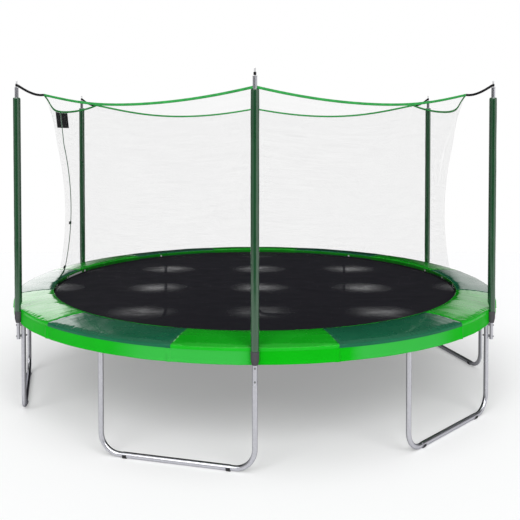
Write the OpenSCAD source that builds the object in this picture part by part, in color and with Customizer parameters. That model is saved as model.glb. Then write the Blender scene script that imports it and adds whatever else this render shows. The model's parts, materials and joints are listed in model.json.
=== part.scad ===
// Round garden trampoline with a safety net, in millimetres, +Z up, standing on z = 0.
// The front faces -Y. Azimuths are counted from the front towards -X, in degrees.

/* [Top ring] */
// Radius of the rail ring's centre line
rail_radius = 2262; // [1800:1:2600]
// Height of the rail ring's centre line above the ground
rail_height = 850; // [600:1:1000]
// Outside diameter of the rail tubes
rail_d = 38; // [32:1:45]
// Wall of the rail tubes
rail_wall = 1.6; // [1:0.1:2.5]
// Number of rails in the ring, one for each leg upright
rail_count = 12; // [12:12:12]
// Length of a T-socket along the ring
socket_len = 126; // [90:1:130]
// Wall of a T-socket
socket_wall = 3; // [2:0.1:4]
// How far a T-socket's stub reaches below the rail's centre line
socket_drop = 66; // [50:1:75]

/* [Legs] */
// Outside diameter of the leg uprights and elbows
leg_d = 38; // [32:1:42]
// Wall of the leg tubes
leg_wall = 1.6; // [1:0.1:2.5]
// Height at which an upright meets its elbow
leg_joint_z = 320; // [250:1:420]
// Bend radius of an elbow's centre line
elbow_bend = 150; // [100:1:180]
// Outside diameter of a crossbar, which sleeves over the elbows
crossbar_d = 42; // [40:1:46]
// Distance from an upright's axis to the near end of the crossbar
crossbar_set = 176; // [176:1:230]
// How far a narrowed tube end or an elbow reaches into its mate
insert_len = 70; // [40:1:100]
// Width of a foot pad along the crossbar
foot_len = 30; // [24:1:60]
// Thickness of a foot pad round the crossbar
foot_wall = 5; // [4:0.5:7]

/* [Poles] */
// Distance between the axes of a pole and its leg upright
pole_offset = 42; // [40:1:55]
// Outside diameter of the pole tubes
pole_d = 30; // [25:1:32]
// Wall of the pole tubes
pole_wall = 1.5; // [1:0.1:2.5]
// How far a pole reaches below the rail's centre line
pole_drop = 214; // [210:1:260]
// Height of the joint between the lower and the upper tube above the rail's centre line
pole_joint_rise = 840; // [500:1:1100]
// Height of the upper tube's top above the rail's centre line
pole_rise = 1904; // [1850:1:2050]
// Outside diameter of the foam sleeve
sleeve_d = 60; // [50:1:70]
// Height of the green sleeve's lower end above the rail's centre line
sleeve_foot_rise = 21; // [10:1:30]
// Bare tube left above the sleeve
sleeve_set = 84; // [54:1:250]
// Length of the dark cuff under the green sleeve
cuff_len = 95; // [71:1:97]
// Diameter of the cuff's lower end
cuff_end_d = 44; // [40:1:58]
// Depth of the upper clamp bolt below the rail's centre line
bolt_drop = 94; // [94:1:110]
// Distance between the two clamp bolts of a pole
bolt_pitch = 95; // [60:1:110]
// Diameter of the clamp bolts
bolt_d = 8; // [6:1:10]
// Diameter of the pin on a pole's cap
pin_d = 13; // [10:0.5:16]
// Height of the pin above the tube
pin_height = 57; // [40:1:70]

/* [Jumping mat] */
// Thickness of the mat cloth
mat_t = 2; // [1:0.1:3]
// Width of the webbing folded over the mat's edge
webbing_w = 45; // [30:1:60]
// Thickness of the webbing
webbing_t = 2.2; // [1.5:0.1:3]
// Width of a webbing loop that holds a V-ring
loop_w = 22; // [16:1:26]
// Number of springs
spring_count = 96; // [96:12:96]
// Distance from the rail's axis to the centre of a spring's inner eye
spring_reach = 196; // [170:1:230]
// Outside diameter of a spring's coils
spring_d = 20; // [16:0.5:22]
// Diameter of the spring wire
spring_wire_d = 3; // [2.5:0.1:3.5]
// Centre-line radius of a spring's eye
eye_radius = 6; // [6:0.1:7]
// Width and thickness of a V-ring's wire
vring_wire_d = 3.4; // [3:0.1:3.6]
// Depth of a V-ring from its bar to its tip
vring_depth = 34; // [26:1:40]
// Width of a V-ring between the centre lines of its bar's ends
vring_w = 40; // [38:1:50]

/* [Safety pad] */
// Width of the pad, from its inner to its outer edge
pad_w = 345; // [295:1:345]
// Thickness of the pad over the springs
pad_t = 37; // [18:1:40]
// Thickness of the pad over the rails
pad_edge_t = 22; // [15:1:30]
// Height of the crown along the middle of a pad
pad_crown = 8; // [2:0.5:12]
// How far the pad's outer wall comes down below its underside
pad_lip = 8; // [4:0.5:9]
// Thickness of the skirt
skirt_t = 1.5; // [1:0.1:2]
// Distance from the pad's outer top edge to the skirt's lower hem
skirt_drop = 125; // [105:1:125]
// Clear space between the rail tube and the skirt
skirt_gap = 4.4; // [4.4:0.1:4.8]

/* [Net] */
// Distance from the rail's centre line inwards to the net's waist
net_waist_set = 428; // [402:1:560]
// Height of the waist above the rail's centre line
net_waist_rise = 790; // [650:1:900]
// Radius of the hollow curve that the net follows from the mat upwards
net_curve_r = 2925; // [2900:1:3400]
// Height of the net's head, between the hollow curve and the top edge's lowest points
net_head_h = 345; // [250:1:500]
// Distance from the rail's centre line inwards to the top edge midway between two poles
net_mid_set = 327; // [262:1:362]
// Distance from the rail's centre line inwards to the net's corners, next to the poles
net_corner_set = 181; // [112:1:232]
// Distance of the corners below the tops of the pole tubes
net_corner_drop = 45; // [24:1:74]
// Depth of the top edge's scallop between two corners
scallop_depth = 109; // [40:1:180]
// Thickness of the net
net_t = 1.2; // [0.8:0.1:2]
// Width of the band along the net's top edge
band_w = 24; // [15:1:40]
// Thickness of the band
band_t = 3; // [2.2:0.1:4]
// Width of the corner straps
strap_w = 20; // [14:1:25]
// Thickness of the corner straps
strap_t = 3; // [2:0.1:4]
// Number of clips along the net's hem
clip_count = 30; // [24:6:36]

/* [Door] */
// Width of the zip tape
tape_w = 30; // [24:1:40]
// Width of the zip's teeth
teeth_w = 6; // [4:0.5:8]
// Height of the zip's lower end above the rail's centre line
zip_rise = 110; // [100:1:150]
// Height of the slider above the rail's centre line when the door is shut
slider_rise = 160; // [150:1:250]
// Height of the lower door buckle above the rail's centre line
buckle_rise = 188; // [188:1:300]
// Distance between the two door buckles
buckle_pitch = 446; // [300:1:700]
// Half angle of the dark patch over the zip
patch_half = 6.5; // [4:0.1:9]
// Depth of the patch's lower edge below the top edge's lowest point
patch_drop = 170; // [120:1:300]

/* [Hidden] */

$fn = 48;
steel = [0.74, 0.76, 0.79];
bright_green = [0.16, 0.66, 0.18];
dark_green = [0.12, 0.36, 0.25];
sleeve_green = [0.16, 0.36, 0.22];
black_cloth = [0.12, 0.12, 0.14];
net_tint = [0.25, 0.25, 0.27, 0.35];

slip = 0.3;                 // clearance of a tube in its socket, and of soft pieces on their seats
leg_count = 6;
leg_step = 360 / leg_count;
half_leg = 15;              // half the angle between a leg's two uprights
rail_step = 360 / rail_count;
spring_step = 360 / spring_count;

rail_r = rail_d / 2;
leg_r = leg_d / 2;
pole_r = pole_d / 2;
crossbar_r = crossbar_d / 2;
rail_bore = rail_r + slip;
stub_bore = leg_r + slip;
socket_r = rail_bore + socket_wall;
stub_r = stub_bore + socket_wall * 0.75;
socket_half = asin(socket_len / 2 / rail_radius);
butt_half = 0.03;           // half the angle between two rail ends inside a T-socket
stub_floor = 2.5;           // steel left between the rail bore and the stub bore

crossbar_z = crossbar_r + foot_wall - 2;    // the foot pads' flat soles lie 2 mm up their round
leg_half_span = rail_radius * sin(half_leg);
leg_plane = rail_radius * cos(half_leg);
upright_top_z = rail_height - rail_bore - stub_floor - slip;

pole_radius = rail_radius + pole_offset;
pole_bottom_z = rail_height - pole_drop;
pole_joint_z = rail_height + pole_joint_rise;
pole_top_z = rail_height + pole_rise;
sleeve_bottom_z = rail_height + sleeve_foot_rise;
sleeve_top_z = pole_top_z - sleeve_set;
cuff_bottom_z = sleeve_bottom_z - cuff_len;
bolt_top_z = rail_height - bolt_drop;
pole_bore = pole_r - 2 * pole_wall - slip;  // bore of an upper tube, the same in its narrowed end
bolt_r = bolt_d / 2;
bolt_hole_r = bolt_r + slip;
bolt_heights = [bolt_top_z, bolt_top_z - bolt_pitch];
spacer_r = bolt_d + 3;
head_r = bolt_d * 0.95;
head_h = bolt_d * 0.65;
flange_h = 4;

wire_r = spring_wire_d / 2;
vwire_r = vring_wire_d / 2;
hook_clear = 0.5;           // air between a spring's wire and the top of its rail
spring_z = rail_height + rail_r + wire_r + hook_clear;
eye_center_r = rail_radius - spring_reach;
vring_bend = 5;             // centre-line radius of a V-ring's corners
rod_thin = 0.2;             // how much thinner a spring's straight wire is than its eye and hook
eye_bore = eye_radius - wire_r - slip;
vring_tip_r = eye_center_r + vwire_r - sqrt(eye_bore * eye_bore - vwire_r * vwire_r);
vring_bar_r = vring_tip_r - vring_depth;
loop_wall = 1.4;
mat_r = vring_bar_r - vwire_r - loop_wall - 2;
seat = 0.1;                 // clearance of the webbing folded over the mat
rail_bend = 5;              // bend that turns a spring's wire down into its rail hole
rail_hole_r = wire_r + 3;

skirt_in_r = rail_radius + rail_r + skirt_gap;
skirt_out_r = skirt_in_r + skirt_t;
hem_h = 14;
hem_extra = 0.6;
pole_side_r = skirt_out_r + hem_extra + slip;     // foam is pressed flat outside this radius
pad_outer_r = skirt_out_r;
pad_inner_r = pad_outer_r - pad_w;
pad_bottom_in = spring_z + spring_d / 2 + 2;
pad_bottom_out = max(rail_height + socket_r, spring_z + wire_r) + 1.2;
pad_top_in = pad_bottom_in + pad_t;
pad_top_out = pad_bottom_out + pad_edge_t;
pad_seam_half = 0.008;      // half the angle of the slit between two pads
skirt_bottom_z = pad_top_out - skirt_drop;
pad_round = 8;
pad_roll = 14;              // radius of the pad's outer edge
lip_t = 5;
lip_z = pad_bottom_out - pad_lip;

net_waist_r = rail_radius - net_waist_set;
net_waist_z = rail_height + net_waist_rise;
net_mid_r = rail_radius - net_mid_set;
net_corner_r = rail_radius - net_corner_set;
net_corner_z = pole_top_z - net_corner_drop;
net_mid_z = net_corner_z - scallop_depth;
net_head_z = net_mid_z - net_head_h;
net_curve_center = net_waist_r + net_curve_r;
net_bottom_z = spring_z + mat_t / 2 + 12;
hem_t = 2;
net_cols = 16;
net_rows_low = 9;
net_rows_head = 4;
net_seam_half = 0.01;       // half the angle of the slit between two net panels

strap_loop_z = pole_top_z + flange_h + 5 + strap_w / 2;
zip_out = 1.2;              // distance of the zip tape outside the net
tape_t = 1;
teeth_t = 2.4;
tape_r = net_curve_r - zip_out - tape_t;    // radius of the tape's outer face about the far centre
zip_break = 0.4;            // gap between the zip's curved part and its straight head
zip_bottom_z = rail_height + zip_rise;
slider_z = rail_height + slider_rise;
slider_w = 13;
slider_h = 22;
slider_t = 3;
slider_out_r = tape_r - teeth_t - slider_t; // radius of the slider's outer face about the far centre
buckle_h = 26;
buckle_foot = 6;
buckle_t = 5;
patch_bottom_z = net_mid_z - patch_drop;

// Points of an arc about a centre, in a profile
function arc_points(c, r, a0, a1, n) =
    [for (i = [0 : n]) let (a = a0 + (a1 - a0) * i / n) [c[0] + r * cos(a), c[1] + r * sin(a)]];

// Turns what stands at the front, at -Y, to an azimuth
module at_azimuth(a) {
    rotate([0, 0, -a])
        children();
}

// Stretch of a ring about the Z axis, from one azimuth to another, with the profile given as children
module ring_arc(a0, a1) {
    rotate([0, 0, -90 - a1])
        rotate_extrude(angle = a1 - a0, $fn = 96)
            children();
}

module tube(r, wall, h) {
    difference() {
        cylinder(r = r, h = h);
        translate([0, 0, -1])
            cylinder(r = r - wall, h = h + 2);
    }
}

// Rod that lies radially at the front, from one radius to another, at a height
module radial_rod(r, r0, r1, z) {
    translate([0, -r0, z])
        rotate([90, 0, 0])
            cylinder(r = r, h = r1 - r0);
}

/* ---- legs ---- */

module leg_place(k) {
    at_azimuth(half_leg + k * leg_step)
        translate([0, -leg_plane, 0])
            children();
}

module crossbar(k) {
    bar_half = leg_half_span - crossbar_set;
    color(steel)
        leg_place(k)
            translate([-bar_half, 0, crossbar_z])
                rotate([0, 90, 0])
                    tube(crossbar_r, crossbar_r - leg_r - slip, 2 * bar_half);
}

module elbow_outline(r) {
    corner = elbow_bend - leg_half_span;
    translate([corner, 0, crossbar_z + elbow_bend]) {
        rotate([90, 0, 0])
            rotate([0, 0, 180])
                rotate_extrude(angle = 90)
                    translate([elbow_bend, 0])
                        circle(r = r);
        translate([0, 0, -elbow_bend])
            rotate([0, 90, 0])
                cylinder(r = r, h = crossbar_set - elbow_bend + insert_len);
        translate([-elbow_bend, 0, 0])
            cylinder(r = r, h = leg_joint_z - crossbar_z - elbow_bend);
    }
}

module elbow() {
    neck_r = leg_r - leg_wall - slip;
    difference() {
        union() {
            elbow_outline(leg_r);
            translate([-leg_half_span, 0, leg_joint_z - 1])
                cylinder(r = neck_r, h = insert_len + 1);
        }
        elbow_outline(leg_r - leg_wall - slip - leg_wall);
        translate([-leg_half_span, 0, leg_joint_z - 2])
            cylinder(r = neck_r - leg_wall, h = insert_len + 4);
        translate([-leg_half_span + crossbar_set + insert_len - 1, 0, crossbar_z])
            rotate([0, 90, 0])
                cylinder(r = neck_r - leg_wall, h = 4);
    }
}

module leg_elbows() {
    color(steel)
        for (k = [0 : leg_count - 1], side = [0, 1])
            leg_place(k)
                mirror([side, 0, 0])
                    elbow();
}

module leg_uprights() {
    color(steel)
        for (k = [0 : leg_count - 1], side = [-1, 1]) {
            azimuth = half_leg + k * leg_step + side * half_leg;
            at_azimuth(azimuth)
                difference() {
                    translate([0, -rail_radius, leg_joint_z + 0.1])
                        tube(leg_r, leg_wall, upright_top_z - leg_joint_z - 0.1);
                    if (side < 0)
                        for (z = bolt_heights)
                            radial_rod(bolt_hole_r, rail_radius - leg_d, rail_radius + leg_d, z);
                }
        }
}

// Saddles that clasp a little more than the lower half of a crossbar
module foot_pads() {
    pad_r = crossbar_r + foot_wall;
    start = leg_half_span - crossbar_set - foot_len;
    color(black_cloth)
        for (k = [0 : leg_count - 1], side = [0, 1])
            leg_place(k)
                mirror([side, 0, 0])
                    difference() {
                        translate([start, 0, crossbar_z])
                            rotate([0, 90, 0])
                                cylinder(r = pad_r, h = foot_len);
                        translate([start - 1, 0, crossbar_z])
                            rotate([0, 90, 0])
                                cylinder(r = crossbar_r + 0.2, h = foot_len + 2);
                        translate([start - 1, -pad_r - 1, -pad_r])
                            cube([foot_len + 2, 2 * pad_r + 2, pad_r]);
                        translate([start - 1, -pad_r - 1, crossbar_z + 4])
                            cube([foot_len + 2, 2 * pad_r + 2, pad_r]);
                    }
}

/* ---- top ring ---- */

module top_rails() {
    color(steel)
        for (k = [0 : rail_count - 1]) {
            a0 = k * rail_step + butt_half;
            a1 = (k + 1) * rail_step - butt_half;
            difference() {
                ring_arc(a0, a1)
                    translate([rail_radius, rail_height])
                        difference() {
                            circle(r = rail_r);
                            circle(r = rail_r - rail_wall);
                        }
                for (s = [0 : spring_count / rail_count - 1])
                    at_azimuth(k * rail_step + (s + 0.5) * spring_step)
                        translate([0, -rail_radius, rail_height + rail_r - rail_wall - 4])
                            cylinder(r = rail_hole_r, h = rail_wall + 8, $fn = 24);
            }
        }
}

module t_sockets() {
    stub_z = rail_height - socket_drop;
    color(steel)
        for (k = [0 : rail_count - 1])
            at_azimuth(k * rail_step)
                difference() {
                    union() {
                        translate([-socket_len / 2, -rail_radius, rail_height])
                            rotate([0, 90, 0])
                                cylinder(r = socket_r, h = socket_len);
                        translate([0, -rail_radius, stub_z])
                            cylinder(r = stub_r, h = socket_drop);
                    }
                    ring_arc(-socket_half - 1, socket_half + 1)
                        translate([rail_radius, rail_height])
                            circle(r = rail_bore);
                    translate([0, -rail_radius, stub_z - 1])
                        cylinder(r = stub_bore, h = upright_top_z + slip - stub_z + 1);
                    for (side = [-1, 1])
                        screw_place(side)
                            translate([0, 0, -socket_wall - 2])
                                cylinder(r = 2.3, h = socket_wall + 4, $fn = 24);
                }
}

// Lower side of a T-socket's sleeve, where a screw goes in from below, with +Z along the screw's way out
module screw_place(side) {
    at_azimuth(side * socket_half * 0.7)
        translate([0, -rail_radius, rail_height - socket_r])
            rotate([180, 0, 0])
                children();
}

module socket_screws() {
    color(steel)
        for (k = [0 : rail_count - 1], side = [-1, 1])
            at_azimuth(k * rail_step)
                screw_place(side) {
                    translate([0, 0, 0.1])
                        cylinder(r1 = 4.5, r2 = 3, h = 2.4, $fn = 24);
                    translate([0, 0, 0.2 - socket_wall])
                        cylinder(r = 2.1, h = socket_wall, $fn = 24);
                }
}

/* ---- poles ---- */

module pole_place(k) {
    at_azimuth(k * leg_step)
        translate([0, -pole_radius, 0])
            children();
}

module pole_lower_tubes() {
    color(steel)
        for (k = [0 : leg_count - 1])
            difference() {
                pole_place(k)
                    translate([0, 0, pole_bottom_z])
                        tube(pole_r, pole_wall, pole_joint_z - pole_bottom_z);
                at_azimuth(k * leg_step)
                    for (z = bolt_heights)
                        radial_rod(bolt_hole_r, pole_radius - pole_d, pole_radius + pole_d, z);
            }
}

module pole_upper_tubes() {
    color(steel)
        for (k = [0 : leg_count - 1])
            pole_place(k)
                difference() {
                    union() {
                        translate([0, 0, pole_joint_z])
                            cylinder(r = pole_r, h = pole_top_z - pole_joint_z);
                        translate([0, 0, pole_joint_z - insert_len])
                            cylinder(r = pole_bore + pole_wall, h = insert_len + 1);
                    }
                    translate([0, 0, pole_joint_z - insert_len - 1])
                        cylinder(r = pole_bore, h = pole_top_z - pole_joint_z + insert_len + 2);
                }
}

// Saddle between a leg upright and its pole, hollowed to both tubes
module pole_spacers() {
    color(steel)
        for (k = [0 : leg_count - 1], z = bolt_heights)
            at_azimuth(k * leg_step)
                difference() {
                    radial_rod(spacer_r, rail_radius + leg_r - 4, pole_radius - pole_r + 3, z);
                    radial_rod(bolt_hole_r, rail_radius, pole_radius, z);
                    translate([0, -rail_radius, z - spacer_r - 1])
                        cylinder(r = leg_r + 0.1, h = 2 * spacer_r + 2);
                    translate([0, -pole_radius, z - spacer_r - 1])
                        cylinder(r = pole_r + 0.1, h = 2 * spacer_r + 2);
                }
}

module pole_bolts() {
    tail = rail_radius - leg_r - head_h - 5;
    color(steel)
        for (k = [0 : leg_count - 1], z = bolt_heights)
            at_azimuth(k * leg_step) {
                radial_rod(bolt_r, tail, pole_radius + pole_r + 0.2, z);
                radial_rod(head_r, pole_radius + pole_r + 0.1, pole_radius + pole_r + head_h, z);
            }
}

module pole_nuts() {
    face = rail_radius - leg_r - 0.1;
    color(steel)
        for (k = [0 : leg_count - 1], z = bolt_heights)
            at_azimuth(k * leg_step)
                translate([0, -(face - head_h), z])
                    rotate([90, 0, 0])
                        difference() {
                            cylinder(r = head_r, h = head_h, $fn = 6);
                            translate([0, 0, -1])
                                cylinder(r = bolt_r + 0.1, h = head_h + 2);
                        }
}

// Plug with the pin that a corner strap is looped over
module pole_caps() {
    color("gainsboro")
        for (k = [0 : leg_count - 1])
            pole_place(k)
                translate([0, 0, pole_top_z]) {
                    translate([0, 0, -20])
                        cylinder(r = pole_bore - 0.2, h = 21);
                    translate([0, 0, 0.1])
                        cylinder(r = pole_r + 2, h = flange_h - 0.1);
                    cylinder(r = pin_d / 2, h = pin_height - pin_d / 2);
                    translate([0, 0, pin_height - pin_d / 2])
                        sphere(r = pin_d / 2);
                }
}

// Foam tube round a pole. It is pressed flat where it passes the pad and the skirt.
module pole_sleeve(k) {
    r = sleeve_d / 2;
    bore = pole_r + slip;
    edge = 6;
    profile = concat(
        [[bore, sleeve_bottom_z], [r, sleeve_bottom_z]],
        arc_points([r - edge, sleeve_top_z - edge], edge, 0, 90, 5),
        [[bore, sleeve_top_z]]);
    color(sleeve_green)
        difference() {
            pole_place(k)
                rotate_extrude()
                    polygon(profile);
            translate([0, 0, sleeve_bottom_z - 10])
                cylinder(r = pole_side_r, h = pad_top_out + 14 - sleeve_bottom_z + 10, $fn = 180);
        }
}

module sleeve_cuffs() {
    profile = [
        [pole_r + slip, cuff_bottom_z],
        [cuff_end_d / 2, cuff_bottom_z],
        [sleeve_d / 2, cuff_bottom_z + 40],
        [sleeve_d / 2, sleeve_bottom_z - 0.2],
        [pole_r + slip, sleeve_bottom_z - 0.2]];
    color([0.3, 0.3, 0.31])
        for (k = [0 : leg_count - 1])
            difference() {
                pole_place(k)
                    rotate_extrude()
                        polygon(profile);
                translate([0, 0, cuff_bottom_z - 10])
                    cylinder(r = pole_side_r, h = sleeve_bottom_z - cuff_bottom_z + 20, $fn = 180);
            }
}

/* ---- mat and springs ---- */

module mat() {
    color(black_cloth)
        translate([0, 0, spring_z - mat_t / 2])
            cylinder(r = mat_r, h = mat_t, $fn = 180);
}

// Webbing folded over the mat's edge, with a loop for each V-ring
module mat_webbing() {
    half = mat_t / 2 + seat;
    outer = mat_r + loop_wall;
    fold = [
        [mat_r - webbing_w, -half - webbing_t], [outer, -half - webbing_t], [outer, half + webbing_t],
        [mat_r - webbing_w, half + webbing_t], [mat_r - webbing_w, half], [mat_r + seat, half],
        [mat_r + seat, -half], [mat_r - webbing_w, -half]];
    bore_half = vwire_r + 0.2;
    loop_r = bore_half + loop_wall;
    color(black_cloth)
        difference() {
            union() {
                translate([0, 0, spring_z])
                    rotate_extrude($fn = 180)
                        polygon(fold);
                for (s = [0 : spring_count - 1])
                    at_azimuth((s + 0.5) * spring_step)
                        translate([-loop_w / 2, 0, spring_z]) {
                            translate([0, -vring_bar_r, 0])
                                rotate([0, 90, 0])
                                    cylinder(r = loop_r, h = loop_w, $fn = 24);
                            translate([0, -vring_bar_r, -loop_r])
                                cube([loop_w, vring_bar_r - mat_r - seat - 0.4, 2 * loop_r]);
                        }
            }
            for (s = [0 : spring_count - 1])
                at_azimuth((s + 0.5) * spring_step)
                    translate([-loop_w / 2 - 1, -vring_bar_r - bore_half, spring_z - bore_half])
                        cube([loop_w + 2, 2 * bore_half, 2 * bore_half]);
        }
}

// Bend of a spring's wire in the upright radial plane at the front, from one angle to another,
// counted from straight up towards the mat
module wire_bend(bend, a0, a1) {
    rotate([0, -90, 0])
        rotate([0, 0, a0])
            rotate_extrude(angle = a1 - a0, $fn = 24)
                translate([bend, 0])
                    circle(r = wire_r, $fn = 16);
}

// Outline of a V-ring, seen from above, with a rounded tip that points outwards
function v_outline(grow) = let (
    half = vring_w / 2 - vring_bend,
    tip = vring_depth - vring_bend,
    lean = asin(half / norm([half, tip - vring_bend])),
    r = vring_bend + grow)
    concat(
        arc_points([half, vring_bend], r, -90, lean, 3),
        arc_points([0, tip], r, lean, 180 - lean, 4),
        arc_points([-half, vring_bend], r, 180 - lean, 270, 3));

module v_ring() {
    outer = v_outline(vwire_r);
    inner = v_outline(-vwire_r);
    n = len(outer);
    translate([0, -vring_bar_r, spring_z - vwire_r])
        rotate([0, 0, 180])
            linear_extrude(height = 2 * vwire_r)
                polygon(concat(outer, inner), [[for (i = [0 : n - 1]) i], [for (i = [0 : n - 1]) n + i]]);
}

module v_rings() {
    color("silver")
        for (s = [0 : spring_count - 1])
            at_azimuth((s + 0.5) * spring_step)
                v_ring();
}

// Spring with an eye round its V-ring and a hook that curls down through its rail hole
module spring() {
    neck = 3;
    cone = 14;
    rod_r = wire_r - rod_thin;
    eye_end = eye_center_r + eye_radius;
    hook_start = rail_radius - rail_bend;
    coil_start = eye_end + cone;
    coil_end = rail_radius - rail_r - 12;
    profile = [
        [0, eye_end], [rod_r, eye_end], [rod_r, eye_end + 4], [neck, eye_end + 4],
        [spring_d / 2, coil_start + 4], [spring_d / 2, coil_end - cone], [neck, coil_end],
        [rod_r, coil_end], [rod_r, hook_start], [0, hook_start]];
    translate([0, 0, spring_z]) {
        rotate([90, 0, 0])
            rotate_extrude($fn = 24)
                polygon(profile);
        translate([0, -eye_center_r, 0])
            wire_bend(eye_radius, -180, 180);
        translate([0, -hook_start, -rail_bend])
            wire_bend(rail_bend, -140, 0);
    }
}

module springs() {
    color("silver")
        for (s = [0 : spring_count - 1])
            at_azimuth((s + 0.5) * spring_step)
                spring();
}

/* ---- pads and skirt ---- */

module pad(k) {
    step_r = rail_radius - rail_r - 14;
    roll_in = arc_points([pad_inner_r + pad_round, pad_top_in - pad_round], pad_round, 180, 90, 4);
    roll_out = arc_points([pad_outer_r - pad_roll, pad_top_out - pad_roll], pad_roll, 90, 0, 4);
    crown = [for (i = [1 : 5]) let (t = i / 6)
        [pad_inner_r + pad_round + t * (pad_outer_r - pad_inner_r - pad_round - pad_roll),
         pad_top_in + t * (pad_top_out - pad_top_in) + pad_crown * 4 * t * (1 - t)]];
    profile = concat(
        [[pad_inner_r + 3, pad_bottom_in]], roll_in, crown, roll_out,
        [[pad_outer_r, lip_z], [pad_outer_r - lip_t, lip_z], [pad_outer_r - lip_t, pad_bottom_out],
         [step_r + 8, pad_bottom_out], [step_r, pad_bottom_in]]);
    color(k % 2 == 0 ? bright_green : dark_green)
        ring_arc((k - 0.5) * rail_step + pad_seam_half, (k + 0.5) * rail_step - pad_seam_half)
            polygon(profile);
}

// Elastic bands that tie the pads to the rails
module pad_ties() {
    tie_t = 1.2;
    tie_w = 20;
    color(black_cloth)
        for (k = [0 : rail_count - 1], side = [-1, 1])
            at_azimuth(k * rail_step + side * 3 * spring_step)
                translate([-tie_w / 2, -rail_radius, rail_height])
                    difference() {
                        union() {
                            rotate([0, 90, 0])
                                cylinder(r = rail_r + slip + tie_t, h = tie_w);
                            translate([0, -3, rail_r])
                                cube([tie_w, 6, pad_bottom_out - rail_height - rail_r - slip]);
                        }
                        translate([-1, 0, 0])
                            rotate([0, 90, 0])
                                cylinder(r = rail_r + slip, h = tie_w + 2);
                    }
}

module skirt() {
    top_z = lip_z - slip;
    profile = [
        [skirt_in_r, top_z], [skirt_out_r, top_z], [skirt_out_r, skirt_bottom_z + hem_h],
        [skirt_out_r + hem_extra, skirt_bottom_z + hem_h - 1], [skirt_out_r + hem_extra, skirt_bottom_z],
        [skirt_in_r, skirt_bottom_z]];
    color(bright_green)
        for (k = [0 : rail_count - 1])
            ring_arc((k - 0.5) * rail_step + pad_seam_half, (k + 0.5) * rail_step - pad_seam_half)
                polygon(profile);
}

/* ---- net ---- */

// Radius of the hollow curve at a height
function curve_r(z) = net_curve_center - sqrt(pow(net_curve_r, 2) - pow(z - net_waist_z, 2));

// Height and radius of the top edge at an angle from mid-panel
function top_z(phi) = net_mid_z + (net_corner_z - net_mid_z) * pow(phi / (leg_step / 2), 2);
function top_r(phi) = net_mid_r + (net_corner_r - net_mid_r) * pow(abs(phi) / (leg_step / 2), 3.5);

// Radius of the net at an angle from mid-panel and a height
function net_r(phi, z) =
    z <= net_head_z ? curve_r(z)
    : curve_r(net_head_z)
        + (top_r(phi) - curve_r(net_head_z)) * (z - net_head_z) / (top_z(phi) - net_head_z);

function polar(r, phi, z) = [-r * sin(phi), -r * cos(phi), z];

// Heights of a strip's rows at an angle, from a lower edge to a distance below the top edge
function strip_rows(phi, z0, below) = concat(
    z0 < net_head_z ? [for (j = [0 : net_rows_low - 1]) z0 + (net_head_z - z0) * j / net_rows_low] : [],
    let (start = max(z0, net_head_z), end = top_z(phi) - below)
        [for (j = [0 : net_rows_head]) start + (end - start) * j / net_rows_head]);

// Closed sheet over a grid of angles and rows. rows holds one list of heights for each angle.
module sheet(angles, rows, out, t) {
    n = len(angles);
    m = len(rows[0]);
    outer = [for (i = [0 : n - 1]) for (z = rows[i]) polar(net_r(angles[i], z) + out, angles[i], z)];
    inner = [for (i = [0 : n - 1]) for (z = rows[i]) polar(net_r(angles[i], z) + out - t, angles[i], z)];
    s = n * m;
    skin = [for (i = [0 : n - 2]) for (j = [0 : m - 2])
        let (a = i * m + j, b = a + m)
            each [[a, b + 1, b], [a, a + 1, b + 1], [a + s, b + s, b + s + 1], [a + s, b + s + 1, a + s + 1]]];
    rims = [for (i = [0 : n - 2])
        let (a = i * m, b = a + m, c = a + m - 1, d = b + m - 1)
            each [[a, b, b + s], [a, b + s, a + s], [c, d + s, d], [c, c + s, d + s]]];
    sides = [for (j = [0 : m - 2])
        let (a = j, b = (n - 1) * m + j)
            each [[a, a + s + 1, a + 1], [a, a + s, a + s + 1], [b, b + 1, b + s + 1], [b, b + s + 1, b + s]]];
    polyhedron(points = concat(outer, inner), faces = concat(skin, rims, sides), convexity = 4);
}

function panel_angles(half, cols) = [for (i = [0 : cols]) half * (2 * i / cols - 1)];

module net_panel(k) {
    angles = panel_angles(leg_step / 2 - net_seam_half, net_cols);
    rows = [for (phi = angles) strip_rows(phi, net_bottom_z + slip, band_w + slip)];
    color(net_tint)
        at_azimuth((k + 0.5) * leg_step)
            sheet(angles, rows, 0, net_t);
}

module net_top_band() {
    angles = panel_angles(leg_step / 2 - net_seam_half, net_cols);
    rows = [for (phi = angles) [top_z(phi) - band_w, top_z(phi)]];
    color(bright_green)
        for (k = [0 : leg_count - 1])
            at_azimuth((k + 0.5) * leg_step)
                sheet(angles, rows, (band_t - net_t) / 2, band_t);
}

// Webbing from a net corner to a loop over the pole's pin
module corner_straps() {
    loop_in = pin_d / 2 + slip;
    loop_out = loop_in + strap_t;
    start = net_corner_r + band_t + slip;
    end = pole_radius - loop_in - strap_t / 2;
    low = net_corner_z - band_w / 2;
    color(black_cloth)
        for (k = [0 : leg_count - 1])
            at_azimuth(k * leg_step)
                difference() {
                    union() {
                        translate([-strap_t / 2, 0, 0])
                            rotate([90, 0, 90])
                                linear_extrude(height = strap_t)
                                    polygon([
                                        [-start, low - strap_w / 2], [-start, low + strap_w / 2],
                                        [-end, strap_loop_z + strap_w / 2], [-end, strap_loop_z - strap_w / 2]]);
                        translate([0, -pole_radius, strap_loop_z - strap_w / 2])
                            cylinder(r = loop_out, h = strap_w);
                    }
                    translate([0, -pole_radius, strap_loop_z - strap_w])
                        cylinder(r = loop_in, h = 2 * strap_w);
                }
}

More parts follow.
